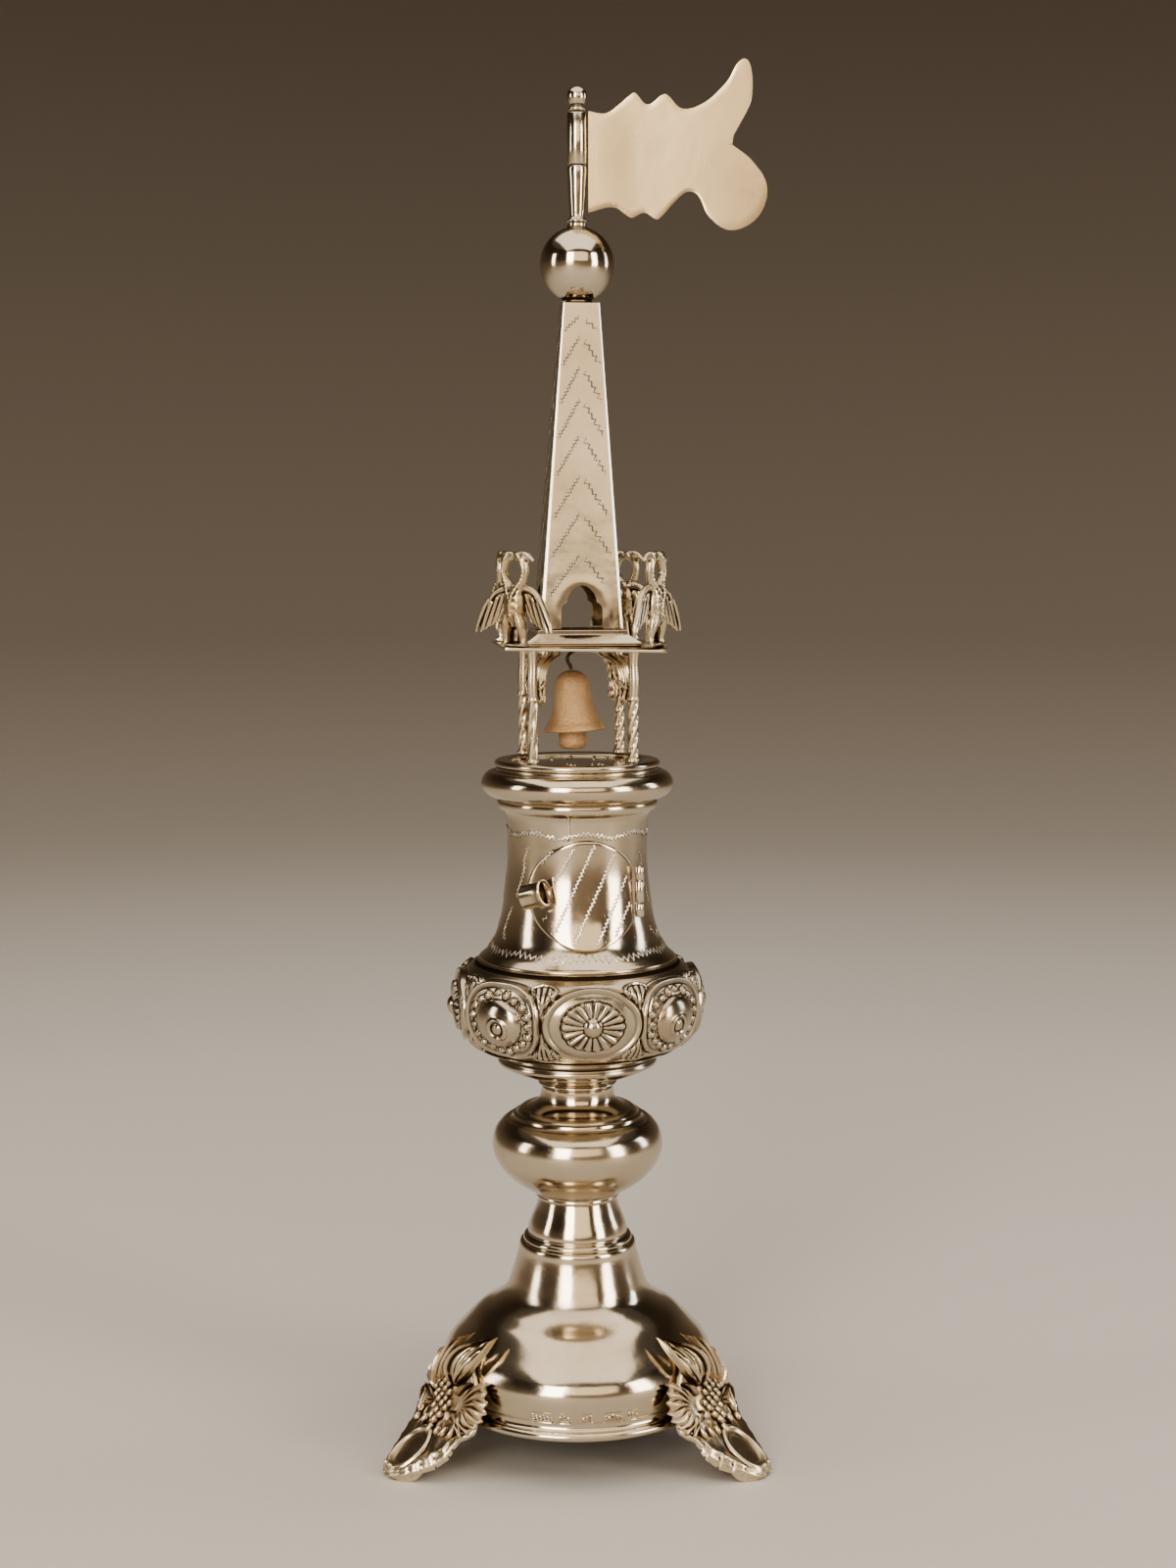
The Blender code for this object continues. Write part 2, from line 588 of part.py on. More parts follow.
def platform_and_spire():
    """The square sheet, the bevelled plinth and the hollow spire with its four arches."""
    half = PLATFORM_WIDTH / 2
    sheet = bmesh.new()
    bottom = PLATFORM_TOP - PLATFORM_THICKNESS
    loft(sheet, [square_ring(half, bottom), square_ring(half, PLATFORM_TOP)])
    place("platform", sheet, SILVER, smooth=False)

    skirt = bmesh.new()
    low = PLATFORM_TOP + GAP
    steps = [(11.6, low), (11.6, low + 0.3), (9.3, 167.5), (9.0, 167.6), (8.9, SKIRT_TOP), (6.6, SKIRT_TOP), (6.6, low)]
    rings = [[skirt.verts.new(point) for point in square_ring(half_width, z)] for half_width, z in steps]
    for first, second in zip(rings, rings[1:] + rings[:1]):
        bridge(skirt, first, second)
    place("spire_skirt", skirt, SILVER, smooth=False)

    wall = 0.8
    base_z = SKIRT_TOP + GAP
    outer = bmesh.new()
    bottom_half, top_half = SPIRE_BASE_WIDTH / 2, SPIRE_TOP_WIDTH / 2
    loft(outer, [
        square_ring(bottom_half, base_z, bottom_half * SPIRE_CHAMFER),
        square_ring(top_half, SPIRE_TOP, top_half * SPIRE_CHAMFER, SPIRE_LEAN),
    ])
    spire = place("spire", outer, SILVER, smooth=False)
    core = bmesh.new()
    loft(core, [
        square_ring(bottom_half - wall + 0.16, base_z - 1.0),
        square_ring(top_half - wall, SPIRE_TOP - 1.0, lean=SPIRE_LEAN),
    ])
    combine(spire, core, "spire_hollow")
    arch = [
        (4.1, base_z - 2.0), (4.1, 172.6), (3.8, 173.4), (2.9, 173.9), (2.6, 175.2), (1.6, 176.4), (0.0, 177.2),
    ]
    arch += [(-x, z) for x, z in reversed(arch[:-1])]
    for turn, name in ((0, "arch_front_back"), (1, "arch_sides")):
        prism = bmesh.new()
        rings = []
        for depth in (-12.0, 12.0):
            if turn:
                rings.append([Vector((depth, x, z)) for x, z in arch])
            else:
                rings.append([Vector((x, depth, z)) for x, z in arch])
        loft(prism, rings)
        combine(spire, prism, name)


def eagle(name, seat, facing):
    """A cast double-headed eagle, facing outwards: a swelling silhouette with a hole between its necks."""
    half_outline = [
        (0.0, 17.5), (1.3, 18.6), (2.9, 18.3), (4.5, 17.1), (3.0, 16.3), (2.4, 14.5), (2.9, 12.6), (4.9, 10.9),
        (6.8, 8.6), (8.4, 6.0), (9.5, 3.7), (9.7, 2.2), (8.3, 2.5), (6.4, 3.6), (4.6, 4.6), (3.6, 3.4), (3.4, 1.2),
        (3.6, 0.0), (0.8, 0.0), (0.6, 1.9), (0.0, 2.5),
    ]
    outline = half_outline + [(-x, z) for x, z in reversed(half_outline[1:-1])]
    hole = [(1.25 * cos(a), 14.2 + 1.9 * sin(a)) for a in [pi * k / 4 for k in range(8)]]
    flat = bmesh.new()
    border = []
    for loop in (outline, hole):
        points = [flat.verts.new((x, 0.0, z)) for x, z in loop]
        for a, b in zip(points, points[1:] + points[:1]):
            border.append(flat.edges.new((a, b)))
    bmesh.ops.triangle_fill(flat, edges=border, use_beauty=True)
    spots = [(0.0, 5.0), (0.0, 8.0), (0.0, 10.8), (2.0, 4.4), (2.2, 8.0), (4.4, 8.0), (6.2, 5.8), (8.2, 4.2)]
    spots += [(1.9, 17.3), (2.0, 1.2)]
    spots += [(-x, z) for x, z in spots if x > 0]
    for x, z in spots:
        target = Vector((x, 0.0, z))
        for face in list(flat.faces):
            a, b, c = (v.co for v in face.verts)
            if inside_triangle(target, a, b, c):
                bmesh.ops.poke(flat, faces=[face])
                nearest = min(flat.verts, key=lambda v: (v.co - (a + b + c) / 3).length)
                nearest.co = target
                break
    bmesh.ops.beautify_fill(flat, faces=flat.faces, edges=[e for e in flat.edges if len(e.link_faces) == 2])
    rim = {v for e in flat.edges if len(e.link_faces) == 1 for v in e.verts}
    pairs = {}
    solid = bmesh.new()
    for v in flat.verts:
        swell = 0.45 if v in rim else eagle_swell(v.co.x, v.co.z)
        pairs[v] = (solid.verts.new((v.co.x, -swell, v.co.z)), solid.verts.new((v.co.x, swell, v.co.z)))
    for face in flat.faces:
        solid.faces.new([pairs[v][0] for v in face.verts])
        solid.faces.new([pairs[v][1] for v in reversed(face.verts)])
    for e in flat.edges:
        if len(e.link_faces) == 1:
            a, b = e.verts
            solid.faces.new((pairs[a][0], pairs[b][0], pairs[b][1], pairs[a][1]))
    flat.free()
    stand = Matrix.Translation(polar(EAGLE_RADIUS, seat, PLATFORM_TOP + GAP))
    solid.transform(stand @ Matrix.Rotation(radians(facing), 4, "Z"))
    place(name, solid, CAST_SILVER)


def eagle_swell(x, z):
    """Half thickness of the eagle: a full breast, round heads and legs, thin wings."""
    breast = 2.1 * max(0.0, 1.0 - (x / 3.2) ** 2 - ((z - 7.6) / 5.4) ** 2)
    head = 1.2 if z > 16.0 else 0.0
    leg = 1.2 if z < 4.5 and abs(x) < 3.5 else 0.0
    return max(0.75, breast, head, leg)


def inside_triangle(point, a, b, c):
    """Whether a point of the XZ plane lies within a triangle of that plane."""
    def side(p, q):
        return (q.x - p.x) * (point.z - p.z) - (q.z - p.z) * (point.x - p.x)

    signs = [side(a, b), side(b, c), side(c, a)]
    return min(signs) > 1e-6 or max(signs) < -1e-6


def bell():
    """The small cast bell, its clapper and the wire that holds it."""
    place("bell", turned(BELL_PROFILE, 12, centre=(BELL_X, 0.0)), BELL_METAL)
    place("bell_clapper", turned(CLAPPER_PROFILE, 8, centre=(BELL_X, 0.0)), BELL_METAL)
    wire = bmesh.new()
    route = [(-0.6, 164.4), (-1.2, 163.7), (-1.9, 162.9), (-1.8, 161.6), (BELL_X, 160.4)]
    rings = []
    for x, z in route:
        rings.append([Vector((x + 0.4 * cos(pi * k / 3), 0.4 * sin(pi * k / 3), z)) for k in range(6)])
    loft(wire, rings)
    place("bell_hook", wire, SILVER)


def flag():
    """The flag sheet with its tube, both turning on the pole."""
    top = empty("flag_axis", (0.0, 0.0, LOWER_TUBE_TOP), TOWER)
    axis = (0.0, 0.0, LOWER_TUBE_TOP)
    place("flag_tube", turned(FLAG_TUBE_PROFILE, 10), SILVER, axis, top)
    edge = TUBE_RADIUS + GAP
    outline = [
        (edge, 269.9, 1), (5.7, 269.5, 0), (8.4, 271.3, 0), (11.3, 273.6, 1), (13.8, 271.2, 0), (17.3, 273.3, 1),
        (20.6, 270.4, 0), (24.6, 271.3, 0), (29.4, 275.5, 0), (32.9, 280.0, 1), (34.2, 277.9, 0), (34.1, 271.6, 0),
        (30.9, 265.3, 0), (30.6, 263.4, 1), (34.4, 260.5, 0), (37.5, 255.2, 0), (35.6, 249.4, 0), (30.2, 247.0, 0),
        (26.0, 249.7, 0), (23.3, 254.2, 0), (21.4, 254.3, 1), (18.8, 252.0, 0), (15.8, 249.0, 1), (13.3, 250.4, 0),
        (10.8, 249.3, 1), (7.4, 251.4, 0), (edge, 250.4, 1),
    ]
    sheet = bmesh.new()
    half = FLAG_THICKNESS / 2
    rings = [[Vector((x, y, z)) for x, z in smooth_closed(outline, 2)] for y in (-half, half)]
    loft(sheet, rings)
    sheet.transform(Matrix.Rotation(radians(FLAG_TURN), 4, "Z"))
    place("flag_sheet", sheet, SILVER, axis, top, smooth=False)


for thing in list(bpy.data.objects):
    bpy.data.objects.remove(thing, do_unlink=True)

TOWER = empty("tower_axis", AXIS_PLACE)
SILVER = silver("polished silver", (0.86, 0.83, 0.78), 0.12)
CAST_SILVER = silver("cast silver", (0.78, 0.72, 0.62), 0.3)
BELL_METAL = silver("bell metal", (0.62, 0.48, 0.38), 0.6)

base()
for foot_name, (foot_angle, foot_lean) in FEET.items():
    foot(foot_name, foot_angle, foot_lean)
place("stem_collar", turned(COLLAR_PROFILE, 18), SILVER)
place("knop", turned(KNOP_PROFILE, 22), SILVER)
bowl()
neck()
door()
place("gallery_floor", turned(FLOOR_PROFILE, 22), SILVER)
for y_side, depth_word in ((-1, "front"), (1, "back")):
    for x_side, side_word in ((-1, "left"), (1, "right")):
        column(f"column_{depth_word}_{side_word}", x_side, y_side)
bell()
platform_and_spire()
for eagle_name, (eagle_seat, eagle_facing) in EAGLES.items():
    eagle(eagle_name, eagle_seat, eagle_facing)
place("ball", turned(BALL_PROFILE, 16), SILVER)
place("pole", turned(POLE_PROFILE, 10), SILVER)
place("finial", turned(FINIAL_PROFILE, 8), SILVER)
flag()
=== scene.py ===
"""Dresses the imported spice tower: smooth turned silver, chased and engraved work, cast feet, eagles and
columns, then the studio floor, the lights and the camera."""

import bmesh
import bpy
import numpy as np
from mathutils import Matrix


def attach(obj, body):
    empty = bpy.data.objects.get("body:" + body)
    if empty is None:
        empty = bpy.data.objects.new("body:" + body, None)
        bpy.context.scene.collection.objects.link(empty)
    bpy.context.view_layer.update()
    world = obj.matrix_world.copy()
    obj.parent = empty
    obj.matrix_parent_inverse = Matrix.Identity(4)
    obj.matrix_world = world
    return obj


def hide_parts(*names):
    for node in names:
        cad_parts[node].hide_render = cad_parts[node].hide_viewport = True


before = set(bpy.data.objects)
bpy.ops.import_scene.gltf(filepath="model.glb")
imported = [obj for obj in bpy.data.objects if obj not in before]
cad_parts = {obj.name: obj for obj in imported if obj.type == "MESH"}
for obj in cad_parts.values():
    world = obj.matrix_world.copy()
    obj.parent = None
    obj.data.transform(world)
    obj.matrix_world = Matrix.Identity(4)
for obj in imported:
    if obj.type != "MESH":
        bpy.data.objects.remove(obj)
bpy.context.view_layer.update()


# Base dome
# The foot of the tower: one sheet of silver spun over a form into a bell with a rolled rim, polished bright.
# A row of stamps sits above the rim at the front, shown as plain upright strokes.

MM = 0.001
TOWER_AXIS = np.array([2.0, -7.25, 0.0])

DOME_LINE = [
    (26.3, 10.2), (26.9, 9.75), (27.9, 9.7), (28.6, 10.1), (28.75, 10.8), (28.3, 11.4), (27.6, 11.6, 1),
    (27.25, 11.95), (27.1, 12.6), (27.45, 14.0), (27.8, 15.8), (27.9, 18.0), (27.4, 19.9), (26.2, 21.8),
    (24.3, 23.9), (20.8, 27.3), (17.2, 29.6), (14.9, 31.9), (13.5, 35.6), (12.2, 40.2), (11.8, 42.1),
    (11.6, 42.2, 1),
]
DOME_HOLLOW_LINE = [
    (0.0, 42.2), (0.0, 41.0, 1), (10.5, 41.0, 1), (12.4, 35.4), (13.9, 31.0), (19.9, 26.8), (23.6, 23.2),
    (26.5, 18.6), (26.2, 12.6), (26.3, 10.2, 1),
]
STAMP_RADIUS, STAMP_HEIGHT = 27.6, 14.2
# Middle and half width of each stamped field in millimetres round the dome, and its number of strokes
STAMPS = [(-10.4, 2.3, 6), (-5.9, 1.2, 3), (-1.3, 1.1, 3), (3.9, 2.0, 5), (8.1, 1.2, 3)]


def unit(ways):
    """Vectors of length 1 along the given ones."""
    return ways / np.maximum(np.linalg.norm(ways, axis=-1, keepdims=True), 1e-9)


def smooth_line(points, steps):
    """A line through points with any number of values each; one more value of 1 keeps a corner sharp. Each
    stretch is the cubic (2t^3-3t^2+1)a + (t^3-2t^2+t)u + (3t^2-2t^3)b + (t^3-t^2)v, where u and v follow the
    mean direction of the chords that meet there."""
    width = min(len(point) for point in points)
    spots = np.array([point[:width] for point in points], float)
    sharp = np.array([[len(point) > width and point[width] > 0] for point in points])
    chord = np.diff(spots, axis=0)
    length, ahead = np.linalg.norm(chord, axis=1, keepdims=True), unit(chord)
    mean = unit(np.vstack([ahead[:1], ahead[1:] + ahead[:-1], ahead[-1:]]))
    leave = np.where(sharp[:-1], ahead, mean[:-1]) * length
    arrive = np.where(sharp[1:], ahead, mean[1:]) * length
    t = np.linspace(0, 1, steps, endpoint=False)[None, :, None]
    line = (
        (2 * t**3 - 3 * t**2 + 1) * spots[:-1, None] + (t**3 - 2 * t**2 + t) * leave[:, None]
        + (3 * t**2 - 2 * t**3) * spots[1:, None] + (t**3 - t**2) * arrive[:, None]
    )
    return np.vstack([line.reshape(-1, width), spots[-1:]])


def spot(radius, degrees, height):
    """Points at a radius from the tower's axis, an angle from the front towards +X, and a height."""
    radius, angle, height = np.broadcast_arrays(radius, np.radians(degrees), height)
    return np.stack([radius * np.sin(angle), -radius * np.cos(angle), height], -1)


def skin(points, close_rows=False, close_columns=True):
    """Quads between neighbouring points of a (rows, columns, 3) grid; a closed direction joins up."""
    rows, columns = points.shape[:2]
    index = np.arange(rows * columns).reshape(rows, columns)
    if close_rows:
        index = np.vstack([index, index[:1]])
    if close_columns:
        index = np.hstack([index, index[:, :1]])
    quads = np.stack([index[:-1, :-1], index[:-1, 1:], index[1:, 1:], index[1:, :-1]], -1)
    return points.reshape(-1, 3), quads.reshape(-1, 4)


def turned(line, sides=128):
    """A line of (radius, height) points carried once round the tower's axis."""
    return skin(spot(line[:, :1], np.arange(sides) * 360.0 / sides, line[:, 1:2]))


def joined(skins):
    """Several skins as one list of points and one list of quads, without points that no quad uses."""
    starts = np.cumsum([0, *(len(points) for points, _ in skins[:-1])])
    points = np.concatenate([points for points, _ in skins])
    quads = np.concatenate([corners + start for (_, corners), start in zip(skins, starts)])
    used, quads = np.unique(quads, return_inverse=True)
    return points[used], quads.reshape(-1, 4)


def mesh_of(name, points, quads):
    """A mesh from whole arrays of points and quads."""
    mesh = bpy.data.meshes.new(name)
    mesh.vertices.add(len(points))
    mesh.vertices.foreach_set("co", points.ravel())
    mesh.loops.add(quads.size)
    mesh.loops.foreach_set("vertex_index", quads.ravel())
    mesh.polygons.add(len(quads))
    mesh.polygons.foreach_set("loop_start", np.arange(0, quads.size, 4))
    mesh.update(calc_edges=True)
    return mesh


def values_of(items, name, width=1, kind=float):
    """One property of all the points, edges, corners or faces of a mesh, in rows of the given width."""
    values = np.empty(len(items) * width, kind)
    items.foreach_get(name, values)
    return values.reshape(-1, width) if width > 1 else values


def close_up(mesh, distance=1e-7):
    """Merges doubled points at poles and seams, turns the faces outwards and shades them smooth."""
    shape = bmesh.new()
    shape.from_mesh(mesh)
    bmesh.ops.remove_doubles(shape, verts=shape.verts, dist=distance)
    bmesh.ops.recalc_face_normals(shape, faces=shape.faces)
    shape.to_mesh(mesh)
    shape.free()
    mesh.shade_smooth()


def in_scene(name, data):
    """A new object in the scene, at the origin."""
    thing = bpy.data.objects.new(name, data)
    bpy.context.scene.collection.objects.link(thing)
    return thing


def crowding(spots, normals, areas, reach):
    """How much surface stands round a place one reach above each point: the areas are gathered in cells of
    half the reach, spread to their neighbours three times by (1, 2, 1) / 4, and read between the eight
    nearest cells. The value is given over its median, which stands for an open face."""
    cell = reach / 2
    low = spots.min(0) - 5 * cell
    size = (np.ptp(spots, axis=0) / cell + 10).astype(int)
    flat = np.ravel_multi_index(((spots - low) / cell).astype(int).T, size)
    field = np.bincount(flat, areas, size.prod()).reshape(size)
    for axis in (0, 1, 2) * 3:
        field = (np.roll(field, 1, axis) + 2 * field + np.roll(field, -1, axis)) / 4
    place = (spots + normals * reach - low) / cell - 0.5
    base = np.floor(place).astype(int)
    part = place - base
    total = np.zeros(len(spots))
    for corner in np.ndindex(2, 2, 2):
        weight = np.prod(np.where(corner, part, 1 - part), axis=1)
        total += weight * field[tuple((base + corner).T)]
    return total / np.median(total)


def note_hollows(mesh, reach):
    """Stores how sheltered each point lies, for a dark colour that is partly tarnish and partly painted
    shade. One part is the step from the point to the average of its neighbours, averaged again until it
    covers the reach, along the normal, as a share of
    0.1 mm. The other is how much more crowded the space above it is than above an open face, which stands
    for the shade that neighbouring parts cast."""
    count = len(mesh.vertices)
    spots, normals = values_of(mesh.vertices, "co", 3), values_of(mesh.vertices, "normal", 3)
    a, b = values_of(mesh.edges, "vertices", 2, np.int32).T
    corners = values_of(mesh.loops, "vertex_index", kind=np.int32)
    sizes = values_of(mesh.polygons, "loop_total", kind=np.int32)
    areas = np.bincount(corners, np.repeat(values_of(mesh.polygons, "area") / sizes, sizes), count)
    crowded = crowding(spots / MM, normals, areas, max(reach, 0.4))
    near = np.bincount(np.concatenate([a, b]), minlength=count)[:, None]
    step = np.mean(np.linalg.norm(spots[a] - spots[b], axis=1)) / MM
    even = spots
    for _ in range(int(np.clip((reach / step) ** 2, 2, 40))):
        around = [np.bincount(a, even[b, k], count) + np.bincount(b, even[a, k], count) for k in range(3)]
        even = (even + np.stack(around, -1) / near) / 2
    # A higher value darkens the colour: tarnish and painted shade in hollows, painted shade between crowded
    # parts
    depth = np.sum((even - spots) * normals, -1) / (0.1 * MM) + 0.3 * np.clip(crowded - 1.7, 0, 4)
    mesh.attributes.new("hollow_shade", "FLOAT", "POINT").data.foreach_set("value", np.clip(depth, -2, 2))


def piece(name, skins, metal, stands_for=(), body="root", crease=40.0, reach=0.7, painted_light_and_shade=None):
    """One piece of the tower from skins in tower millimetres. Poles and seams are merged and faces turned
    outwards, edges sharper than the crease angle stay crisp, and it moves with its body. Its hollows are
    worked out for tarnish and painted shade, or a row of values that repeats over its points is taken for
    them, which paints shade and highlight straight into the colour."""
    points, quads = joined(skins)
    mesh = mesh_of(name, (points + TOWER_AXIS) * MM, quads)
    # A given row paints shade and highlight straight into the colour
    if painted_light_and_shade is not None:
        hollow_shade = mesh.attributes.new("hollow_shade", "FLOAT", "POINT")
        hollow_shade.data.foreach_set("value", np.resize(painted_light_and_shade, len(points)))
    close_up(mesh)
    mesh.set_sharp_from_angle(angle=np.radians(crease))
    if painted_light_and_shade is None:
        note_hollows(mesh, reach)
    material, finish = metal
    mesh.materials.append(material)
    thing = in_scene(name, mesh)
    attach(thing, body)
    if stands_for:
        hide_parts(*stands_for)
    return thing


def wire_up(tree, links):
    """Joins (node, output) pairs to (node, input) pairs."""
    for source, output, target, name in links:
        tree.links.new(source.outputs[output], target.inputs[name])


def feed(tree, socket, value):
    """Links an output to a socket, or sets the socket to a plain value."""
    if isinstance(value, bpy.types.NodeSocket):
        tree.links.new(value, socket)
    else:
        socket.default_value = value


def node(tree, kind, **values):
    """A node with its inputs, or with its settings where no input has that name."""
    made = tree.nodes.new(kind)
    for key, value in values.items():
        if key in made.inputs:
            made.inputs[key].default_value = value
        else:
            setattr(made, key, value)
    return made


def maths(tree, operation, first, second, clamp=False):
    """A Math node on outputs or plain numbers, which gives its output."""
    made = node(tree, "ShaderNodeMath", operation=operation, use_clamp=clamp)
    feed(tree, made.inputs[0], first)
    feed(tree, made.inputs[1], second)
    return made.outputs[0]


def climbing(tree, value, start, gain):
    """A mask that is 0 up to the start and climbs by the gain to 1."""
    return maths(tree, "MULTIPLY", maths(tree, "SUBTRACT", value, start), gain, clamp=True)


def added(tree, total, shares):
    """A value with shares of other values added to it."""
    for value, share in shares:
        total = maths(tree, "ADD", total, maths(tree, "MULTIPLY", value, share))
    return total


def blended(tree, factor, first, second):
    """A colour between two colours."""
    mix = node(tree, "ShaderNodeMix", data_type="RGBA")
    for place, value in ((0, factor), (6, first), (7, second)):
        feed(tree, mix.inputs[place], value)
    return mix.outputs[2]


def aged_metal_group():
    """Age on handled metal: cloudy toning, a dark colour in the hollows that is partly tarnish and partly
    painted shade, bright rubbed ridges that on the cut lines are a painted highlight, fine hairline
    scratches from polishing, and small dents. The noises are laid in object space, in metres."""
    tree = bpy.data.node_groups.new("aged_metal", "ShaderNodeTree")
    for way, kind, names in (
        ("INPUT", "NodeSocketColor", ("Clean", "Toned", "Patina_shade_colour")),
        ("INPUT", "NodeSocketFloat", ("Polish", "Toning", "Patina_and_shade", "Grain")),
        ("OUTPUT", "NodeSocketColor", ("Colour",)),
        ("OUTPUT", "NodeSocketFloat", ("Roughness", "Height")),
    ):
        for name in names:
            tree.interface.new_socket(name, in_out=way, socket_type=kind)
    given, result = tree.nodes.new("NodeGroupInput").outputs, tree.nodes.new("NodeGroupOutput")
    place = tree.nodes.new("ShaderNodeTexCoord")
    hollow_shade = node(tree, "ShaderNodeAttribute", attribute_name="hollow_shade").outputs["Fac"]
    cloud = node(tree, "ShaderNodeTexNoise", Scale=55.0, Detail=5.0, Roughness=0.6)
    speck = node(tree, "ShaderNodeTexNoise", Scale=1600.0, Detail=3.0, Roughness=0.6)
    dents = node(tree, "ShaderNodeTexNoise", Scale=190.0, Detail=2.0, Roughness=0.45)
    hairs = node(tree, "ShaderNodeTexNoise", Scale=1.0, Detail=1.0)
    stretch = node(tree, "ShaderNodeMapping", Scale=(5200.0, 5200.0, 90.0), Rotation=(0.5, 0.9, 0.0))
    wire_up(tree, [(place, "Object", noise, "Vector") for noise in (cloud, speck, dents, stretch)])
    wire_up(tree, [(stretch, "Vector", hairs, "Vector")])
    patches = climbing(tree, cloud.outputs["Fac"], 0.38, 3.2)
    hairline = climbing(tree, hairs.outputs["Fac"], 0.66, 6.0)
    # Painted shade and tarnish: the colour darkens where the value climbs past 0.08
    patina_and_shade = maths(tree, "MULTIPLY", climbing(tree, hollow_shade, 0.08, 1.6), given["Patina_and_shade"], clamp=True)
    # Negative values clear the toning: rubbed ridges, and a painted highlight on the cut burrs
    unrubbed_unhighlit = maths(tree, "SUBTRACT", 1.0, maths(tree, "MULTIPLY", hollow_shade, -1.0, clamp=True))
    toned = maths(tree, "MULTIPLY", maths(tree, "MULTIPLY", patches, given["Toning"]), unrubbed_unhighlit, clamp=True)
    colour = blended(tree, toned, given["Clean"], given["Toned"])
    feed(tree, result.inputs["Colour"], blended(tree, patina_and_shade, colour, given["Patina_shade_colour"]))
    dull = maths(tree, "MULTIPLY", patina_and_shade, 0.3)
    dull = added(tree, dull, [(patches, 0.09), (hairline, 0.14), (speck.outputs["Fac"], 0.05)])
    feed(tree, result.inputs["Roughness"], maths(tree, "ADD", dull, given["Polish"], clamp=True))
    grain = maths(tree, "MULTIPLY", speck.outputs["Fac"], given["Grain"])
    feed(tree, result.inputs["Height"], added(tree, grain, [(dents.outputs["Fac"], 1.5), (hairline, -0.1)]))
    return tree


AGED_METAL = aged_metal_group()


def metal_finish(name, slot_name, bump, clean, toned, patina_shade_colour, polish, toning, patina_and_shade, grain, metallic=1.0):
    """A metal whose colour, roughness and surface come from the aged metal group, with its slot's name."""
    material = bpy.data.materials.new(name)
    material.use_nodes = True
    tree = material.node_tree
    shader = tree.nodes["Principled BSDF"]
    shader.inputs["Metallic"].default_value = metallic
    age = node(tree, "ShaderNodeGroup", node_tree=AGED_METAL)
    colours = [(*colour, 1.0) for colour in (clean, toned, patina_shade_colour)]
    for socket, value in zip(age.inputs, (*colours, polish, toning, patina_and_shade, grain)):
        socket.default_value = value
    relief = node(tree, "ShaderNodeBump", Strength=1.0, Distance=bump * MM)
    wire_up(tree, [
        (age, "Colour", shader, "Base Color"), (age, "Roughness", shader, "Roughness"),
        (age, "Height", relief, "Height"), (relief, "Normal", shader, "Normal"),
    ])
    return material, slot_name


SPUN_SILVER = metal_finish(
    "spun_silver", "silver", 0.045, clean=(0.69, 0.61, 0.495), toned=(0.55, 0.445, 0.31),
    patina_shade_colour=(0.14, 0.1, 0.06), polish=0.09, toning=0.5, patina_and_shade=0.8, grain=0.03,
)


def soft_step(value, start, end):
    """0 before the start, 1 after the end, and 3t^2 - 2t^3 between."""
    t = np.clip((value - start) / (end - start), 0, 1)
    return t * t * (3 - 2 * t)


def stamped(round_the_dome, height):
    """Soft sunk fields 0.16 mm deep with short upright strokes standing in them: every second slice of a
    field's width, each of its own height and shifted up or down."""
    relief = np.zeros(np.broadcast(round_the_dome, height).shape)
    for middle, half, count in STAMPS:
        across, up = (round_the_dome - middle) / half, (height - STAMP_HEIGHT) / 1.25
        field = soft_step(-np.maximum(np.abs(across), np.abs(up)), -1.0, -0.75)
        slices = (across + 1) / 2 * count
        which = np.floor(slices)
        tall, shift = 0.42 - 0.14 * np.cos(2.4 * which + middle), 0.12 * np.sin(1.9 * which + middle)
        thick, long = 3 * np.sin(np.pi * (slices % 1)) - 1.6, 5 * (tall - np.abs(up - shift))
        relief += field * (0.28 * np.clip(thick, 0, 1) * np.clip(long, 0, 1) - 0.16)
    return relief


# The wall's rows from 12.7 to 15.7 mm and its columns at the front are close together for the stamps
dome_wall = smooth_line(DOME_LINE, 5)
stamp_rows = np.linspace(12.75, 15.65, 28)
outer = dome_wall[10:np.argmax(dome_wall[:, 1])]
stamp_radius = np.interp(stamp_rows, outer[:, 1], outer[:, 0])
dome_wall = np.vstack([
    dome_wall[dome_wall[:, 1] < 12.7], np.stack([stamp_radius, stamp_rows], -1),
    dome_wall[dome_wall[:, 1] > 15.7],
])
dome_line = np.vstack([dome_wall, smooth_line(DOME_HOLLOW_LINE, 2)])
dome_angles = np.concatenate([
    np.linspace(-27, 21, 180, endpoint=False), np.linspace(21, 333, 104, endpoint=False),
])
dome_radius = np.repeat(dome_line[:, :1], len(dome_angles), 1)
dome_radius[:len(dome_wall)] += stamped(np.radians(dome_angles) * STAMP_RADIUS, dome_wall[:, 1:])
piece("dome", [skin(spot(dome_radius, dome_angles, dome_line[:, 1:]))], SPUN_SILVER, ["base_dome"])


# Three feet
# Cast leaf feet, soldered to the dome's shoulder: a ribbed leaf and slim blades above, a cluster of seeds,
# ruffled fans at the sides, and a framed oval on the toe. Toned silver, dark between the leaves with tarnish
# and painted shade.

FOOT_LENGTH = 34.6
SEEDS_AT = 0.5
FOOT_THICKNESS = 1.1
TOE_PAD = 0.93
# Direction of each foot, how far its leaves lean, and which side of it is towards the front
FEET = {"foot_left": (-67.0, 12.0, 1), "foot_right": (53.0, -12.0, -1), "foot_back": (173.0, 0.0, 1)}
# Distance out and height at equal steps from above the leaf tip (-1/8) down to the toe (1)
FOOT_ROUTE = np.array([
    (20.8, 29.8), (23.2, 27.6), (25.8, 24.4), (28.3, 21.2), (29.5, 17.6), (30.2, 13.9), (32.4, 10.0),
    (36.0, 6.6), (40.0, 3.8), (44.0, 1.5),
])
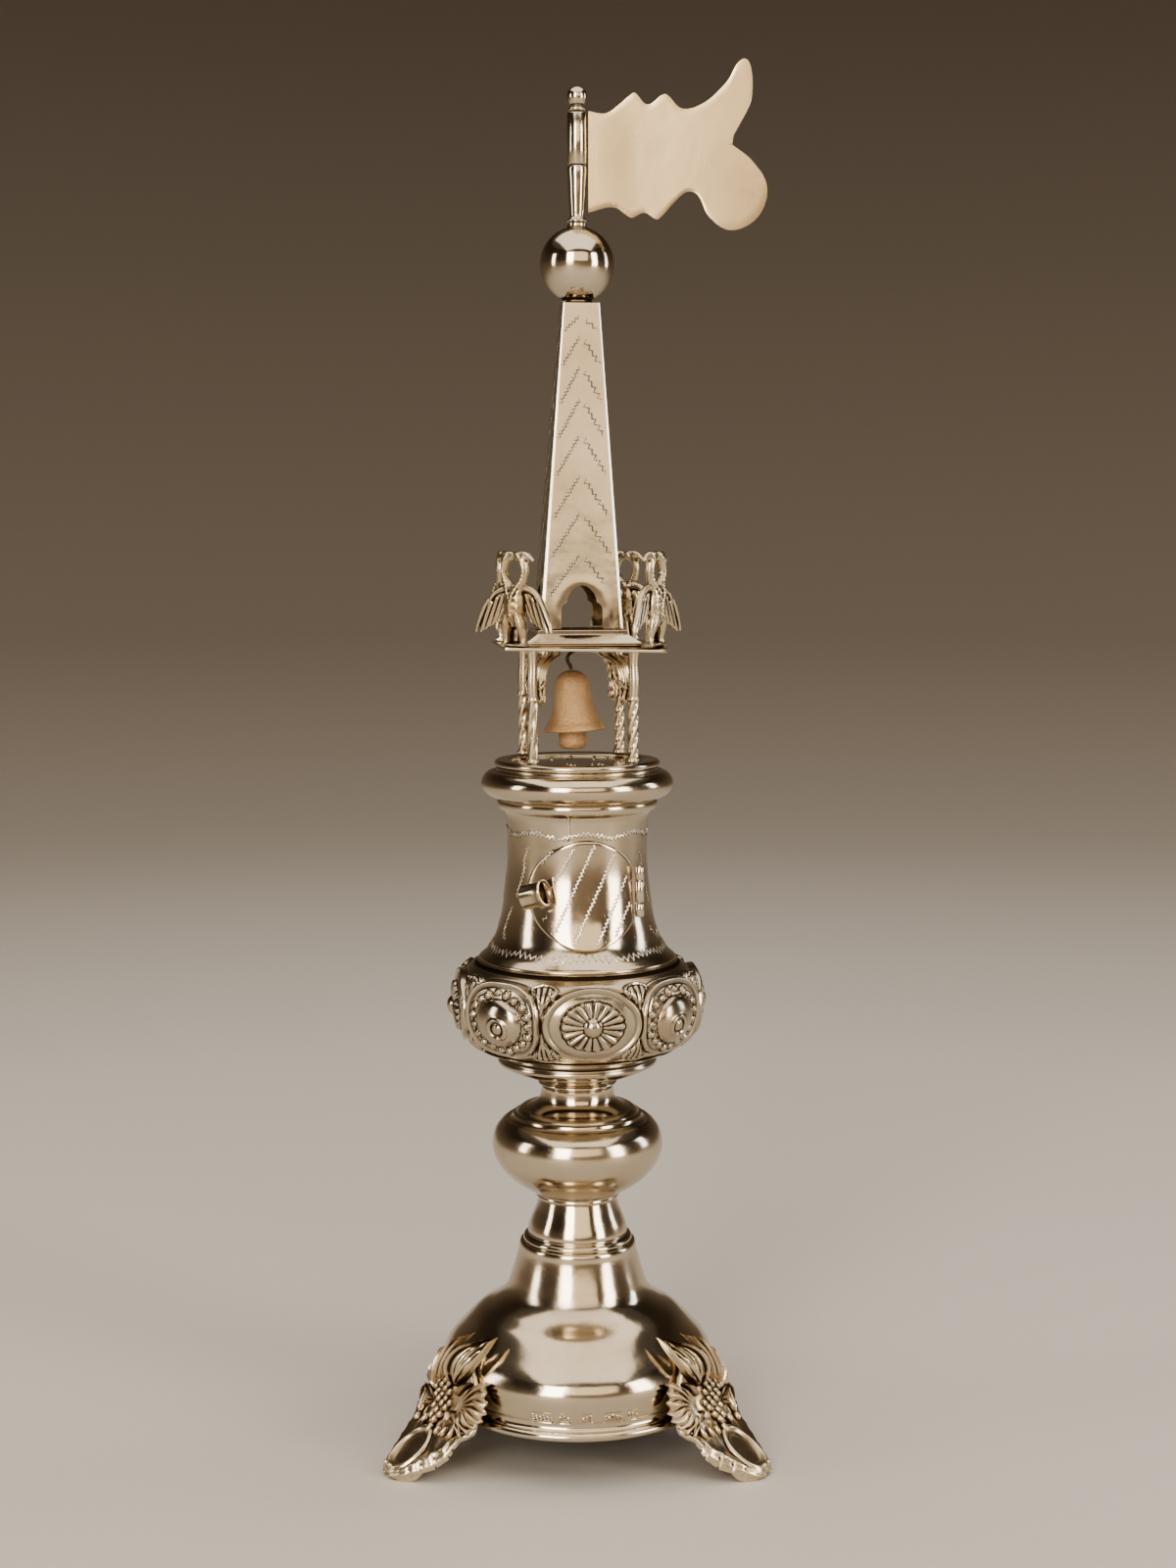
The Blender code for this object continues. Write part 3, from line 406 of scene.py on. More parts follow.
# Half width of the sheet under the leaves at places from its head (0.18) to the toe (1)
FOOT_HALF_WIDTH = [
    (3.0, 0.18), (4.6, 0.26), (6.6, 0.33), (8.6, 0.4), (9.8, 0.48), (10.4, 0.54), (11.4, 0.6), (11.2, 0.64),
    (9.4, 0.68), (9.2, 0.73), (8.0, 0.79), (6.5, 0.85), (5.0, 0.91), (3.5, 0.96), (1.8, 0.99), (0.6, 1.0),
]
# Root and tip of each blade as (across, along), its half width, height, sideways bend, side ribs, base, and
# how steeply its face leans towards the front
BLADES = [
    ((2.6, 0.4), (4.9, 0.04), 2.6, 1.15, 0.3, 3, 0.3, 0.5),
    ((0.2, 0.38), (1.2, 0.05), 0.5, 1.4, 0.9, 0, 2.6, 0.1),
    ((-0.9, 0.38), (-1.3, 0.09), 0.5, 1.4, 0.3, 0, 2.7, 0.1),
    ((-2.2, 0.42), (-4.2, 0.16), 0.75, 1.6, 0.2, 0, 1.7, 0.1),
    ((-3.3, 0.46), (-7.2, 0.27), 0.85, 1.5, 0.3, 0, 1.0, 0.1),
    ((-4.1, 0.5), (-10.0, 0.38), 1.2, 1.2, 0.5, 0, 0.4, 0.0),
    ((-3.8, 0.56), (-11.6, 0.54), 2.2, 0.9, 0.6, 3, 0.25, 0.0),
    ((-9.4, 0.54), (-6.2, 0.68), 1.0, 1.2, 0.6, 0, 0.25, 0.0),
    ((3.2, 0.56), (10.4, 0.67), 0.75, 1.0, 0.8, 0, 0.3, 0.0),
    ((3.6, 0.45), (7.6, 0.36), 0.7, 1.1, 0.3, 0, 0.3, 0.0),
]
# Middle, half width and half length of each small lump, in millimetres across and shares along
SEEDS = [
    (x - shift + 0.06 * row, SEEDS_AT + (1.85 * (row - 2.5) + 0.3 * x) / FOOT_LENGTH, 0.54, 0.88)
    for row, shift in enumerate((0.8, 0.0) * 3) for x in (-2.4, -0.8, 0.8, 2.4, 4.0)
    if abs(x - shift) < 3.5 - 0.2 * (row - 2.5) ** 2
]
DROPS = [
    (0.7, 0.69, 0.7, 1.15), (-2.9, 0.665, 0.6, 1.0), (3.3, 0.68, 0.5, 1.0), (5.2, 0.67, 0.5, 1.1),
    (7.2, 0.66, 0.5, 1.2), (-5.9, 0.69, 0.65, 0.85), (-0.9, 0.975, 0.5, 0.5), (0.9, 0.975, 0.5, 0.5),
]

# Strong darkening in the recesses, partly tarnish and partly painted shade
CAST_SILVER = metal_finish(
    "cast_silver", "cast_silver", 0.05, clean=(0.72, 0.63, 0.49), toned=(0.52, 0.39, 0.24),
    patina_shade_colour=(0.07, 0.042, 0.022), polish=0.22, toning=0.9, patina_and_shade=1.5, grain=0.25,
)


def ridge(value, centre, width):
    """A rounded ridge: exp(-((v - c) / w)^2)."""
    return np.exp(-(((value - centre) / width) ** 2))


def foot_path(along):
    """Distance out and height of the foot's middle line, by a smooth line through its route."""
    line = smooth_line(FOOT_ROUTE, 8)
    place = np.clip((along * 8 + 1) * 8, 0, len(line) - 1)
    return [np.interp(place, np.arange(len(line)), line[:, k]) for k in (0, 1)]


def on_foot(across, along, rise, foot):
    """Places on a foot. The leaves above the seeds lean to one side, the point steps off the middle line's
    normal by its rise, and the distance across is bent round the dome."""
    degrees, lean, front = foot
    across = front * across
    up = (SEEDS_AT - along) * FOOT_LENGTH
    turn = np.radians(lean) * np.clip(up / 6, 0, 1)
    place = SEEDS_AT - (up * np.cos(turn) + across * np.sin(turn)) / FOOT_LENGTH
    across = across * np.cos(turn) + up * np.sin(turn)
    out, height = foot_path(place)
    ahead, behind = foot_path(place + 0.02), foot_path(place - 0.02)
    slope = unit(np.stack([ahead[0] - behind[0], ahead[1] - behind[1]], -1))
    radius, z = out - slope[..., 1] * rise, height + slope[..., 0] * rise
    return spot(radius, degrees + np.degrees(across / out), np.maximum(z, 0.05))


def capped(grid):
    """A grid with a row more at each end, all of it at the middle of the end row."""
    first, last = (np.repeat(grid[[k]].mean(1, keepdims=True), grid.shape[1], 1) for k in (0, -1))
    return np.concatenate([first, grid, last])


def shell(top, under):
    """Two grids of the same rows and columns, closed along their sides and gathered at both ends."""
    return skin(capped(np.concatenate([top, under[:, ::-1]], 1)))


def toe_and_skirt(across, along):
    """Height of the sheet: a sunk oval in a raised frame on the toe, a skirt whose soft folds run out from
    it, and a mound that carries the seeds."""
    oval = np.sqrt((across / 3.7) ** 2 + ((along - 0.835) / 0.14) ** 2)
    folds = 0.4 + 0.13 * np.cos(np.abs(across) * 1.1 + along * 21) + 0.05 * np.cos(across * 2.3 - along * 33)
    rise = np.where(along > 0.6, folds, 0.3) * np.clip((1.02 - along) * 12, 0, 1)
    frame_rise = 0.95 * ridge(oval, 0.98, 0.17) + 0.15 * np.clip(1 - oval, 0, 1)
    field = 1 / (1 + np.exp((oval - 1.08) * 30))
    rise = np.maximum(rise * (1 - field), frame_rise)
    y = (along - SEEDS_AT) * FOOT_LENGTH
    return rise + soft_step(1 - (across / 5.0) ** 2 - (y / 6.6) ** 2, 0, 1)


def blade(root, tip, half, height, bend, ribs, base, lean, foot):
    """One leaf as a closed shell. Its middle line runs from root to tip and bows sideways as sin(pi t), its
    half width swells as sin(pi t^0.75)^1.2, and its face is a keel, or a sunk field with lengthwise ribs
    inside a thin rim. The side away from the front is lifted by the lean."""
    t, s = np.linspace(0.02, 0.995, 30)[:, None], np.sin(np.linspace(-1, 1, 35 if ribs else 15) * np.pi / 2)
    run = np.array([tip[0] - root[0], (tip[1] - root[1]) * FOOT_LENGTH])
    ahead = unit(run)
    swell = np.sin(np.pi * t**0.75)
    width, thin = half * swell**1.2, np.clip(swell * 2.5, 0, 1)
    side = bend * np.sin(np.pi * t) + s * width
    across = root[0] + run[0] * t + ahead[1] * side
    along = root[1] + (run[1] * t - ahead[0] * side) / FOOT_LENGTH
    off = np.abs(s)
    if ribs:
        rise = 0.1 + 0.4 * ridge(s * width, 0, 0.2) + 1.3 * ridge(off, 0.87, 0.075)
        rise = rise + 0.35 * np.cos(np.pi * ribs * (off - 0.5 * t)) ** 4 * np.clip(1.5 - 1.8 * off, 0, 1)
        rise = rise * np.clip((1 - off) * 12, 0, 1)
    else:
        rise = 0.2 + 0.8 * (1 - off) ** 0.8 + 0.25 * ridge(off, 0.8, 0.15)
    lift = base + 0.5 * t + 0.35 * np.sin(np.pi * t) + lean * width * (1 - s * np.sign(ahead[1]))
    top = on_foot(across, along, lift + (height - 0.2) * rise * thin, foot)
    return shell(top, on_foot(across, along, lift - 0.3 * thin, foot))


def side_fan(foot):
    """The ruffled leaf beside the seeds, in polar steps about a point near them: low folds as |cos(16 a)|
    that wander as they run out, and a scalloped edge. It slopes down outwards, to face the front."""
    a, r = np.radians(np.linspace(-43, 45, 110))[:, None], np.linspace(0.0, 1.0, 20)
    edge = 8.6 + 0.3 * np.cos(32 * a + 1.0) - 1.8 * np.abs(a) ** 3
    far = 3.0 + (edge - 3.0) * r
    across = 3.6 + far * np.cos(a)
    along = SEEDS_AT + 0.005 + far * np.sin(a) / FOOT_LENGTH
    ruffle = 0.42 * np.abs(np.cos(16 * a + 1.1 * np.sin(5 * r + 4 * a))) ** 1.5 * np.clip(r * 3 - 0.2, 0, 1)
    rise = 1.5 + ruffle + 0.5 * np.sin(2.4 * r) - 1.1 * r
    return shell(on_foot(across, along, rise, foot), on_foot(across, along, rise - 0.7, foot))


def ball(rows, columns):
    """A round lump of radius 1 as a (rows, columns, 3) grid."""
    up, turn = np.linspace(-np.pi / 2, np.pi / 2, rows)[:, None], np.arange(columns) * 2 * np.pi / columns
    return np.stack([np.cos(up) * np.cos(turn), np.cos(up) * np.sin(turn), np.sin(up) + 0 * turn], -1)


def lump(across, along, half, length, base, foot):
    """A seed or a drop: an ellipsoid that stands on the leaf."""
    x, y, z = np.moveaxis(ball(8, 12), -1, 0)
    return skin(on_foot(across + half * x, along + length * y / FOOT_LENGTH, base + 0.75 * z, foot))


foot_edge = smooth_line([(half, along * FOOT_LENGTH) for half, along in FOOT_HALF_WIDTH], 8)
foot_along = FOOT_HALF_WIDTH[0][1] + (1 - FOOT_HALF_WIDTH[0][1]) * np.linspace(0, 1, 110)[:, None] ** 0.9
foot_half = np.interp(foot_along * FOOT_LENGTH, foot_edge[:, 1], foot_edge[:, 0])
crinkle = 0.11 * np.sin(foot_along * 95) + 0.06 * np.sin(foot_along * 211 + 1.0)
foot_half = foot_half + crinkle * soft_step(foot_along, 0.56, 0.62) * soft_step(-foot_along, -0.98, -0.9)
foot_columns = np.linspace(-1, 1, 85)[None, :]
foot_across = foot_columns * foot_half
foot_rim = np.clip((1 - np.abs(foot_columns)) * 9, 0, 1)
foot_rise = toe_and_skirt(foot_across, foot_along) * foot_rim**0.5
foot_rise += 0.45 * ridge(np.abs(foot_columns), 0.95, 0.035) * (foot_along > 0.64)
for foot_name, foot in FEET.items():
    top = on_foot(foot_across, foot_along, foot_rise, foot)
    under = on_foot(foot_across, foot_along, -FOOT_THICKNESS * (0.6 + 0.4 * foot_rim), foot)
    under[..., 2] = under[..., 2] * soft_step(-foot_along, -TOE_PAD, 0.12 - TOE_PAD)
    low_edge = soft_step(np.abs(foot_columns), 0.82, 1.0) * soft_step(foot_along, 0.62, 0.85)
    top[..., 2] = np.maximum(top[..., 2] * (1 - 0.5 * low_edge) - 0.3 * soft_step(foot_along, 0.8, 1.0), 0.5)
    parts = [shell(top, under), side_fan(foot)]
    parts += [blade(*values, foot) for values in BLADES]
    parts += [lump(*values, 1.35, foot) for values in SEEDS]
    parts += [lump(*values, 0.75, foot) for values in DROPS]
    piece(f"{foot_name}_leaves", parts, CAST_SILVER, [foot_name], crease=65, reach=0.6)


# Stem collar and knop
# Two hollow pieces spun and soldered one on the other: a waisted collar, then a swelling knop with stepped
# rings on its shoulder and a slender cove that carries the box.

COLLAR_LINE = [
    (0.0, 42.25, 1), (11.0, 42.25, 1), (11.25, 42.6), (11.0, 43.3), (10.5, 43.5, 1), (10.15, 43.7),
    (10.25, 44.3), (9.95, 45.8), (9.4, 47.3), (8.7, 49.0), (8.05, 51.0), (8.0, 51.2, 1), (0.0, 51.2, 1),
]
KNOP_LINE = [
    (0.0, 51.25, 1), (8.2, 51.25, 1), (8.6, 51.7), (8.5, 52.4), (9.0, 52.8), (10.8, 53.7), (14.2, 56.2),
    (16.7, 59.4), (17.55, 62.6), (16.9, 65.6), (15.4, 67.5), (14.6, 68.0, 1), (14.1, 67.95), (13.5, 68.4),
    (13.2, 69.0, 1), (12.7, 69.1), (12.2, 69.7), (11.6, 70.1, 1), (10.6, 70.25), (9.0, 71.0), (7.9, 72.1),
    (7.5, 73.6), (7.5, 74.6), (7.9, 75.1, 1), (8.1, 75.5), (7.9, 75.9), (7.6, 76.1, 1), (0.0, 76.1, 1),
]

piece("collar", [turned(smooth_line(COLLAR_LINE, 6), 96)], SPUN_SILVER, ["stem_collar"])
piece("stem_knop", [turned(smooth_line(KNOP_LINE, 6))], SPUN_SILVER, ["knop"])


# Bowl of the spice box
# Spun sheet whose belly is chased from behind with eight medallions, a petalled flower and a beaded boss by
# turns, and a waisted fluted leaf between each two. Rings are turned below and at the lip.

BAND_BOTTOM, BAND_TOP = 83.6, 100.2
BOWL_LOW = [
    (0.0, 76.15, 1), (7.8, 76.15, 1), (8.3, 76.5), (8.6, 77.2, 1), (11.8, 77.7), (14.6, 78.9),
    (15.7, 79.6, 1), (16.2, 79.75), (16.35, 80.3), (16.1, 80.8, 1), (16.0, 81.2), (16.8, 81.7), (18.6, 82.6),
    (19.9, 83.2, 1), (20.5, 83.35), (20.2, BAND_BOTTOM, 1),
]
BOWL_BAND = [
    (20.2, BAND_BOTTOM), (22.2, 85.2), (23.8, 87.1), (25.0, 90.4), (25.25, 92.8), (25.1, 95.2), (24.2, 97.7),
    (22.9, 99.3), (21.6, BAND_TOP),
]
BOWL_HIGH = [
    (21.6, BAND_TOP, 1), (20.9, 100.5), (20.4, 101.0, 1), (20.55, 101.2), (20.2, 101.4, 1), (19.0, 101.4, 1),
    (20.3, 99.8, 1), (23.2, 97.2), (24.1, 93.0), (22.7, 87.8), (19.2, 84.5), (15.2, 82.4), (14.0, 80.4, 1),
    (0.0, 77.9, 1),
]
# Columns of the mesh round the bowl, and rows up the band
BOWL_SIDES, BAND_ROWS = 640, 104
BAND_RADIUS = 24.4
PANELS, PETALS, PEARLS = 8, 18, 19
PANEL_WIDTH = 2 * np.pi * BAND_RADIUS / PANELS


def oval_frame(x, y):
    """1 on the outer edge of a flower's oval frame."""
    return np.sqrt((x / 9.9) ** 2 + ((y - 0.5) / 7.6) ** 2)


def tall_frame(x, y):
    """1 on the outer edge of a pearl medallion's squarish frame."""
    return (np.abs(x / 9.0) ** 2.6 + np.abs((y - 0.4) / 8.0) ** 2.6) ** (1 / 2.6)


def flower_panel(x, y):
    """An oval frame, a smooth dished ring, a flower of ridged petals and a round boss."""
    oval, y = oval_frame(x, y), y - 0.35
    rise = 1.0 * ridge(oval, 0.93, 0.062) + 0.3 * soft_step(-oval, -0.9, -0.8)
    petal = np.sqrt((x / 6.25) ** 2 + (y / 5.1) ** 2)
    turn = np.arctan2(y / 5.1, x / 6.25)
    wedge = np.abs(np.cos(PETALS / 2 * turn + 0.16 * np.sin(3 * turn)))
    tip = 0.93 + 0.05 * wedge + 0.02 * np.sin(5 * turn + 1.0)
    crown = (0.2 + 0.95 * ((wedge**2 + 0.02) ** 0.35 - 0.25) * (0.2 + 0.8 * petal))
    flower = crown * soft_step(-petal, -tip - 0.04, -tip + 0.05)
    rise = np.where(petal < 1.04, np.maximum(flower, rise - 0.25 * ridge(petal, 1.0, 0.06)), rise)
    boss = np.hypot(x, y) / 2.0
    return np.maximum(rise * soft_step(boss, 0.8, 1.1), 1.55 * np.sqrt(np.clip(1 - boss**2, 0, 1)))


def pearl_panel(x, y):
    """A tall rounded frame, a ring of pearls, and a large smooth boss with a small ringed knob on it."""
    box = tall_frame(x, y)
    rise = 0.8 * ridge(box, 0.95, 0.052) + 0.25 * ridge(box, 0.82, 0.045)
    turn = np.arctan2(y / 6.0, x / 6.9)
    track = np.sqrt((x / 6.9) ** 2 + (y / 6.0) ** 2)
    count = turn * PEARLS / (2 * np.pi)
    step, which = count % 1 - 0.5, np.floor(count)
    long = 0.82 + 0.2 * np.sin(which * 2.7)
    sideways = step * 2 * np.pi * 6.4 / PEARLS / 0.8
    outwards = (track - 1 - 0.03 * np.sin(which * 1.9)) * 6.4 / long
    pearl = np.sqrt(np.clip(1 - sideways**2 - outwards**2, 0, 1))
    rise = np.maximum(rise, (0.75 + 0.15 * np.cos(which * 4.1)) * pearl)
    boss = np.sqrt((x / 5.4) ** 2 + (y / 4.9) ** 2)
    rise = np.maximum(rise, 1.7 * np.sqrt(np.clip(1 - boss**2, 0, 1)) ** 1.1)
    knob = np.hypot(x + 0.9, y + 0.6)
    rings = 0.42 * ridge(knob, 1.75, 0.32) - 0.2 * ridge(knob, 1.15, 0.35)
    return rise + (rings + 0.2 * soft_step(-knob, -1.1, -0.6)) * (boss < 1)


def fluted_leaf(x, y):
    """Four thick flutes that spread up and down from a waist between raised edges, under a small arch."""
    x, y = np.abs(x), np.abs(y - 0.3)
    half = 0.6 + 2.3 * (y / 8.2) ** 1.4
    a = x / half
    reach = 8.1 - 0.9 * a**2
    inside = soft_step(half - x, -0.1, 0.4) * soft_step(reach - y, 0.0, 0.5)
    flutes = 0.3 + 0.5 * np.abs(np.cos(2 * np.pi * a)) ** 0.8 * soft_step(y, 2.2, 5.0)
    edge = 0.75 * ridge(x, half + 0.15, 0.32) * soft_step(reach - y, -0.4, 0.0) * soft_step(y, 1.0, 4.0)
    arch = 0.75 * ridge(y, reach + 0.1, 0.33) * soft_step(half * 1.2 - x, 0.0, 0.4)
    return np.maximum(np.maximum(flutes * inside, edge), arch)


def band_relief(degrees, y):
    """Height of the chasing at an angle and a height on the band, with two kinds of panel by turns."""
    turned_by = degrees * PANELS / 360.0
    panel = np.round(turned_by)
    x = (turned_by - panel) * PANEL_WIDTH + 0.25 * np.sin(panel * 2.1)
    flower = panel % 2 == 0
    panels = np.where(flower, flower_panel(x, y), pearl_panel(np.where(panel > PANELS / 2, -x, x), y))
    edge = np.where(flower, oval_frame(x, y), tall_frame(x, y))
    leaf = fluted_leaf((turned_by % 1 - 0.5) * PANEL_WIDTH, y) * soft_step(edge, 1.0, 1.1)
    return np.maximum(panels, leaf) - 0.22 * ridge(edge, 1.06, 0.035)


def way_along(line):
    """How far along a line each of its points lies."""
    return np.concatenate([[0.0], np.cumsum(np.linalg.norm(np.diff(line, axis=0), axis=1))])


def points_at(line, ways):
    """Points of a flat line at the given ways along it."""
    return np.stack([np.interp(ways, way_along(line), line[:, k]) for k in (0, 1)], -1)


band_line = smooth_line(BOWL_BAND, 12)
band_length = way_along(band_line)[-1]
band_steps = np.linspace(0, band_length, BAND_ROWS)
band = points_at(band_line, band_steps)
band_slope = unit(np.gradient(band, axis=0))
bowl_angles = np.arange(BOWL_SIDES) * 360.0 / BOWL_SIDES
chased = band_relief(bowl_angles, (band_steps - band_length / 2)[:, None])
chased *= soft_step(np.minimum(band_steps, band_length - band_steps), 0.0, 0.7)[:, None]
low, high = smooth_line(BOWL_LOW, 2)[:-1], smooth_line(BOWL_HIGH, 1)[1:]
low, high = (np.repeat(line[:, None], BOWL_SIDES, 1) for line in (low, high))
band = band[:, None] + np.stack([chased * band_slope[:, 1:], -chased * band_slope[:, :1]], -1)
bowl_grid = np.concatenate([low, band, high])
CHASED_SILVER = metal_finish(
    "chased_silver", "silver", 0.04, clean=(0.6, 0.53, 0.425), toned=(0.44, 0.345, 0.235),
    patina_shade_colour=(0.06, 0.038, 0.022), polish=0.13, toning=0.5, patina_and_shade=1.3, grain=0.05,
)
bowl_skin = skin(spot(bowl_grid[..., 0], bowl_angles, bowl_grid[..., 1]))
bowl = piece("chased_bowl", [bowl_skin], CHASED_SILVER, ["bowl"], reach=0.5).data

# The turned rings stay crisp, and the chasing is rounded all over
crisp = values_of(bowl.attributes["sharp_edge"].data, "value", kind=bool)
edge_ends = values_of(bowl.edges, "vertices", 2, np.int32)
up = values_of(bowl.vertices, "co", 3)[edge_ends, 2].mean(1) / MM
crisp[(up > BAND_BOTTOM + 0.3) & (up < BAND_TOP - 0.3)] = False
bowl.attributes["sharp_edge"].data.foreach_set("value", crisp)


# Neck of the spice box
# The waisted upper half, bent from sheet and soldered down one side, with a round door hole at the front.
# Wriggle work, a zigzag cut by rocking a flat graver, rings it above and below and curls down its sides.

NECK_LINE = [
    (20.0, 101.45, 1), (20.1, 101.7), (19.4, 102.4), (18.5, 103.3), (16.9, 105.9), (15.7, 109.7),
    (14.9, 114.8), (14.25, 121.0), (14.2, 125.5), (14.4, 129.5), (14.8, 131.6), (15.1, 131.9, 1),
    (15.8, 132.2), (16.2, 132.8), (16.2, 133.8), (15.9, 134.2, 1),
]
NECK_INSIDE = [
    (14.0, 134.2, 1), (13.35, 129.0), (13.3, 121.5), (13.95, 114.8), (14.75, 109.7), (15.95, 105.9),
    (18.4, 101.7, 1),
]
DOOR_MIDDLE = 116.4
DOOR_HOLE = 9.4
NECK_SIDES = 144
# Radius at which millimetres round the neck are turned into an angle
NECK_RADIUS = 15.0

neck_line = smooth_line(NECK_LINE, 6)
neck_inside = smooth_line(NECK_INSIDE, 8)


def wall_radius(line, height):
    """Radius of a turned wall at a height."""
    order = np.argsort(line[:, 1])
    return np.interp(height, line[order, 1], line[order, 0])


def hole_collar(wall, border):
    """Rings that lead over a wall from a border of (angle, height) points to the round door hole."""
    around = np.arctan2(border[:, 1] - DOOR_MIDDLE, np.radians(border[:, 0]) * NECK_RADIUS)
    height = DOOR_MIDDLE + DOOR_HOLE * np.sin(around)
    angle = np.degrees(np.arcsin(DOOR_HOLE * np.cos(around) / wall_radius(wall, height)))
    part = np.linspace(0, 1, 9)[:, None, None]
    rings = border * (1 - part) + np.stack([angle, height], -1) * part
    return spot(wall_radius(wall, rings[..., 1]), rings[..., 0], rings[..., 1])


def run_of(*stretches):
    """One run of (across, up) points from stretches in which either value may be a single number."""
    return np.concatenate([np.stack(np.broadcast_arrays(across, up), -1) for across, up in stretches])


# The wall goes up outside and down inside on shared heights. The block of cells round the door is left out
# of both, and two collars close it round the hole.
shared = np.linspace(103.8, 131.2, 45)
outside, inside = (np.stack([wall_radius(line, shared), shared], -1) for line in (neck_line, neck_inside))
neck_rows = np.vstack([
    neck_line[neck_line[:, 1] < 103.6], outside, neck_line[neck_line[:, 1] > 131.4], [(14.0, 134.2)],
    inside[::-1], [(18.4, 101.7)],
])
neck_angles = (np.arange(NECK_SIDES) - NECK_SIDES // 2) * 360.0 / NECK_SIDES
neck_points, neck_quads = skin(spot(neck_rows[:, :1], neck_angles, neck_rows[:, 1:]), close_rows=True)
block_angles = neck_angles[np.abs(neck_angles) < 51]
block_heights = shared[(shared > 104.3) & (shared < 128.6)]
middle = neck_points[neck_quads].mean(1)
beside = np.abs(np.degrees(np.arctan2(middle[:, 0], -middle[:, 1]))) >= block_angles[-1]
clear = beside | (middle[:, 2] <= block_heights[0]) | (middle[:, 2] >= block_heights[-1])
border = run_of(
    (block_angles[:-1], block_heights[0]), (block_angles[-1], block_heights[:-1]),
    (block_angles[:0:-1], block_heights[-1]), (block_angles[0], block_heights[:0:-1]),
)
collars = np.concatenate([hole_collar(neck_line, border), hole_collar(neck_inside, border)[::-1]])
piece("neck_wall", [(neck_points, neck_quads[clear]), skin(collars)], SPUN_SILVER, ["neck"])


# How sunk each point across a cut counts, as painted shade and painted highlight since the cut stands proud:
# a bright burr beside painted shade on dark faces, a dark cut of painted shade on the pale spire
PAINTED_CUT_LIGHT_AND_SHADE = [1.7, 1.7, -0.6, -0.6, 0.5, 0.5]
PAINTED_SPIRE_CUT_LIGHT_AND_SHADE = [0.0, 0.2, 0.46, 0.46, -0.8, -0.4]
# Across a cut, as (sideways in half widths, outwards in millimetres, where None is the burr's own height)
CUT_SECTION = [(-1.0, -0.05), (-0.6, 0.015), (-0.35, None), (0.45, None), (0.8, 0.0), (1.0, -0.05)]


def wriggle(route, on_wall, pitch, swing, width=0.35, lift=0.1):
    """One line of wriggle work: a zigzag along a route of (across, up) points that steps about half a pitch
    at a time and swings to either side. It stands as a raised burr, painted bright as a highlight beside a
    line of painted shade where the cut would be, and tapers to nothing at both ends."""
    route = np.asarray(route, float)
    length = way_along(route)[-1]
    step = np.arange(max(int(length / pitch * 2), 4))
    place = np.linspace(0, length, len(step))
    place[1:-1] += 0.12 * pitch * np.sin(step[1:-1] * 2.3)
    middle = points_at(route, place)
    ahead = unit(np.gradient(middle, axis=0))
    sway = (np.where(step % 2, 1, -1) * swing * (0.85 + 0.25 * np.sin(step * 0.9)))[:, None]
    spots, normals = on_wall(middle + sway * np.stack([-ahead[:, 1], ahead[:, 0]], -1))
    sideways = unit(np.cross(normals, unit(np.gradient(spots, axis=0))))
    taper = np.clip(np.minimum(step, step[::-1]) / 2, 0, 1)[:, None]
    return skin(np.stack([
        spots + sideways * (a * width * taper) + normals * ((lift if b is None else b) * taper)
        for a, b in CUT_SECTION
    ], 1))


def on_neck(points):
    """Places on the neck for (millimetres round it, height), and the wall's normal there."""
    angle, height = np.degrees(points[:, 0] / NECK_RADIUS), points[:, 1]
    slope = (wall_radius(neck_line, height + 0.2) - wall_radius(neck_line, height - 0.2)) / 0.4
    return spot(wall_radius(neck_line, height), angle, height), unit(spot(1.0, angle, -slope))


# Wriggle lines as (millimetres round the neck, height)
round_neck = np.linspace(-np.pi, np.pi, 240) * NECK_RADIUS
upper_ring = 127.9 + 0.45 * np.cos(round_neck / 1.9)
lower_ring = 104.4 - 0.55 * np.abs(np.sin(round_neck / 3.9)) + 0.9 * np.abs(round_neck / 47) ** 2
SIDE_CURLS = [
    [(-13.0, 125.8), (-14.3, 123.2), (-14.6, 120.0), (-15.6, 117.4), (-16.3, 114.8)],
    [(-17.4, 113.4), (-18.6, 110.4), (-19.0, 107.6), (-17.6, 106.2)],
    [(13.6, 124.8), (15.0, 122.4), (15.2, 119.2), (16.6, 116.0), (17.2, 112.6)],
    [(15.4, 109.0), (17.0, 107.0), (18.8, 106.4), (19.2, 108.2)],
]
BACK_CURLS = [
    [(24.0, 125.6), (26.8, 121.0), (25.2, 116.0), (28.0, 111.0), (25.6, 107.2)],
    [(36.0, 124.8), (33.0, 119.6), (36.2, 114.0), (33.4, 108.8)],
]
curls = SIDE_CURLS + [[(side * x, z) for x, z in curl] for curl in BACK_CURLS for side in (1, -1)]
seam = np.stack([-3.5 + 0.12 * np.sin(np.arange(12) * 1.7), np.linspace(126.9, 133.2, 12)], -1)
neck_cuts = [
    wriggle(np.stack([round_neck, upper_ring], -1), on_neck, pitch=0.95, swing=0.42, width=0.42),
    wriggle(np.stack([round_neck, lower_ring], -1), on_neck, pitch=1.1, swing=0.55, width=0.45),
    *(wriggle(smooth_line(curl, 8), on_neck, pitch=0.85, swing=0.36) for curl in curls),
    wriggle(seam, on_neck, pitch=1.4, swing=0.1, width=0.3, lift=0.12),
]
# Pale metal for the cuts; with the negative values above it gives the burrs a painted highlight
CUT_SILVER = metal_finish(
    "cut_silver", "silver", 0.03, clean=(0.92, 0.87, 0.77), toned=(0.8, 0.7, 0.54),
    patina_shade_colour=(0.07, 0.05, 0.03), polish=0.26, toning=0.7, patina_and_shade=1.3, grain=0.1,
)
# The cut lines take their painted shade and highlight from the rows above
piece("neck_wriggle_work", neck_cuts, CUT_SILVER, crease=180, painted_light_and_shade=PAINTED_CUT_LIGHT_AND_SHADE)


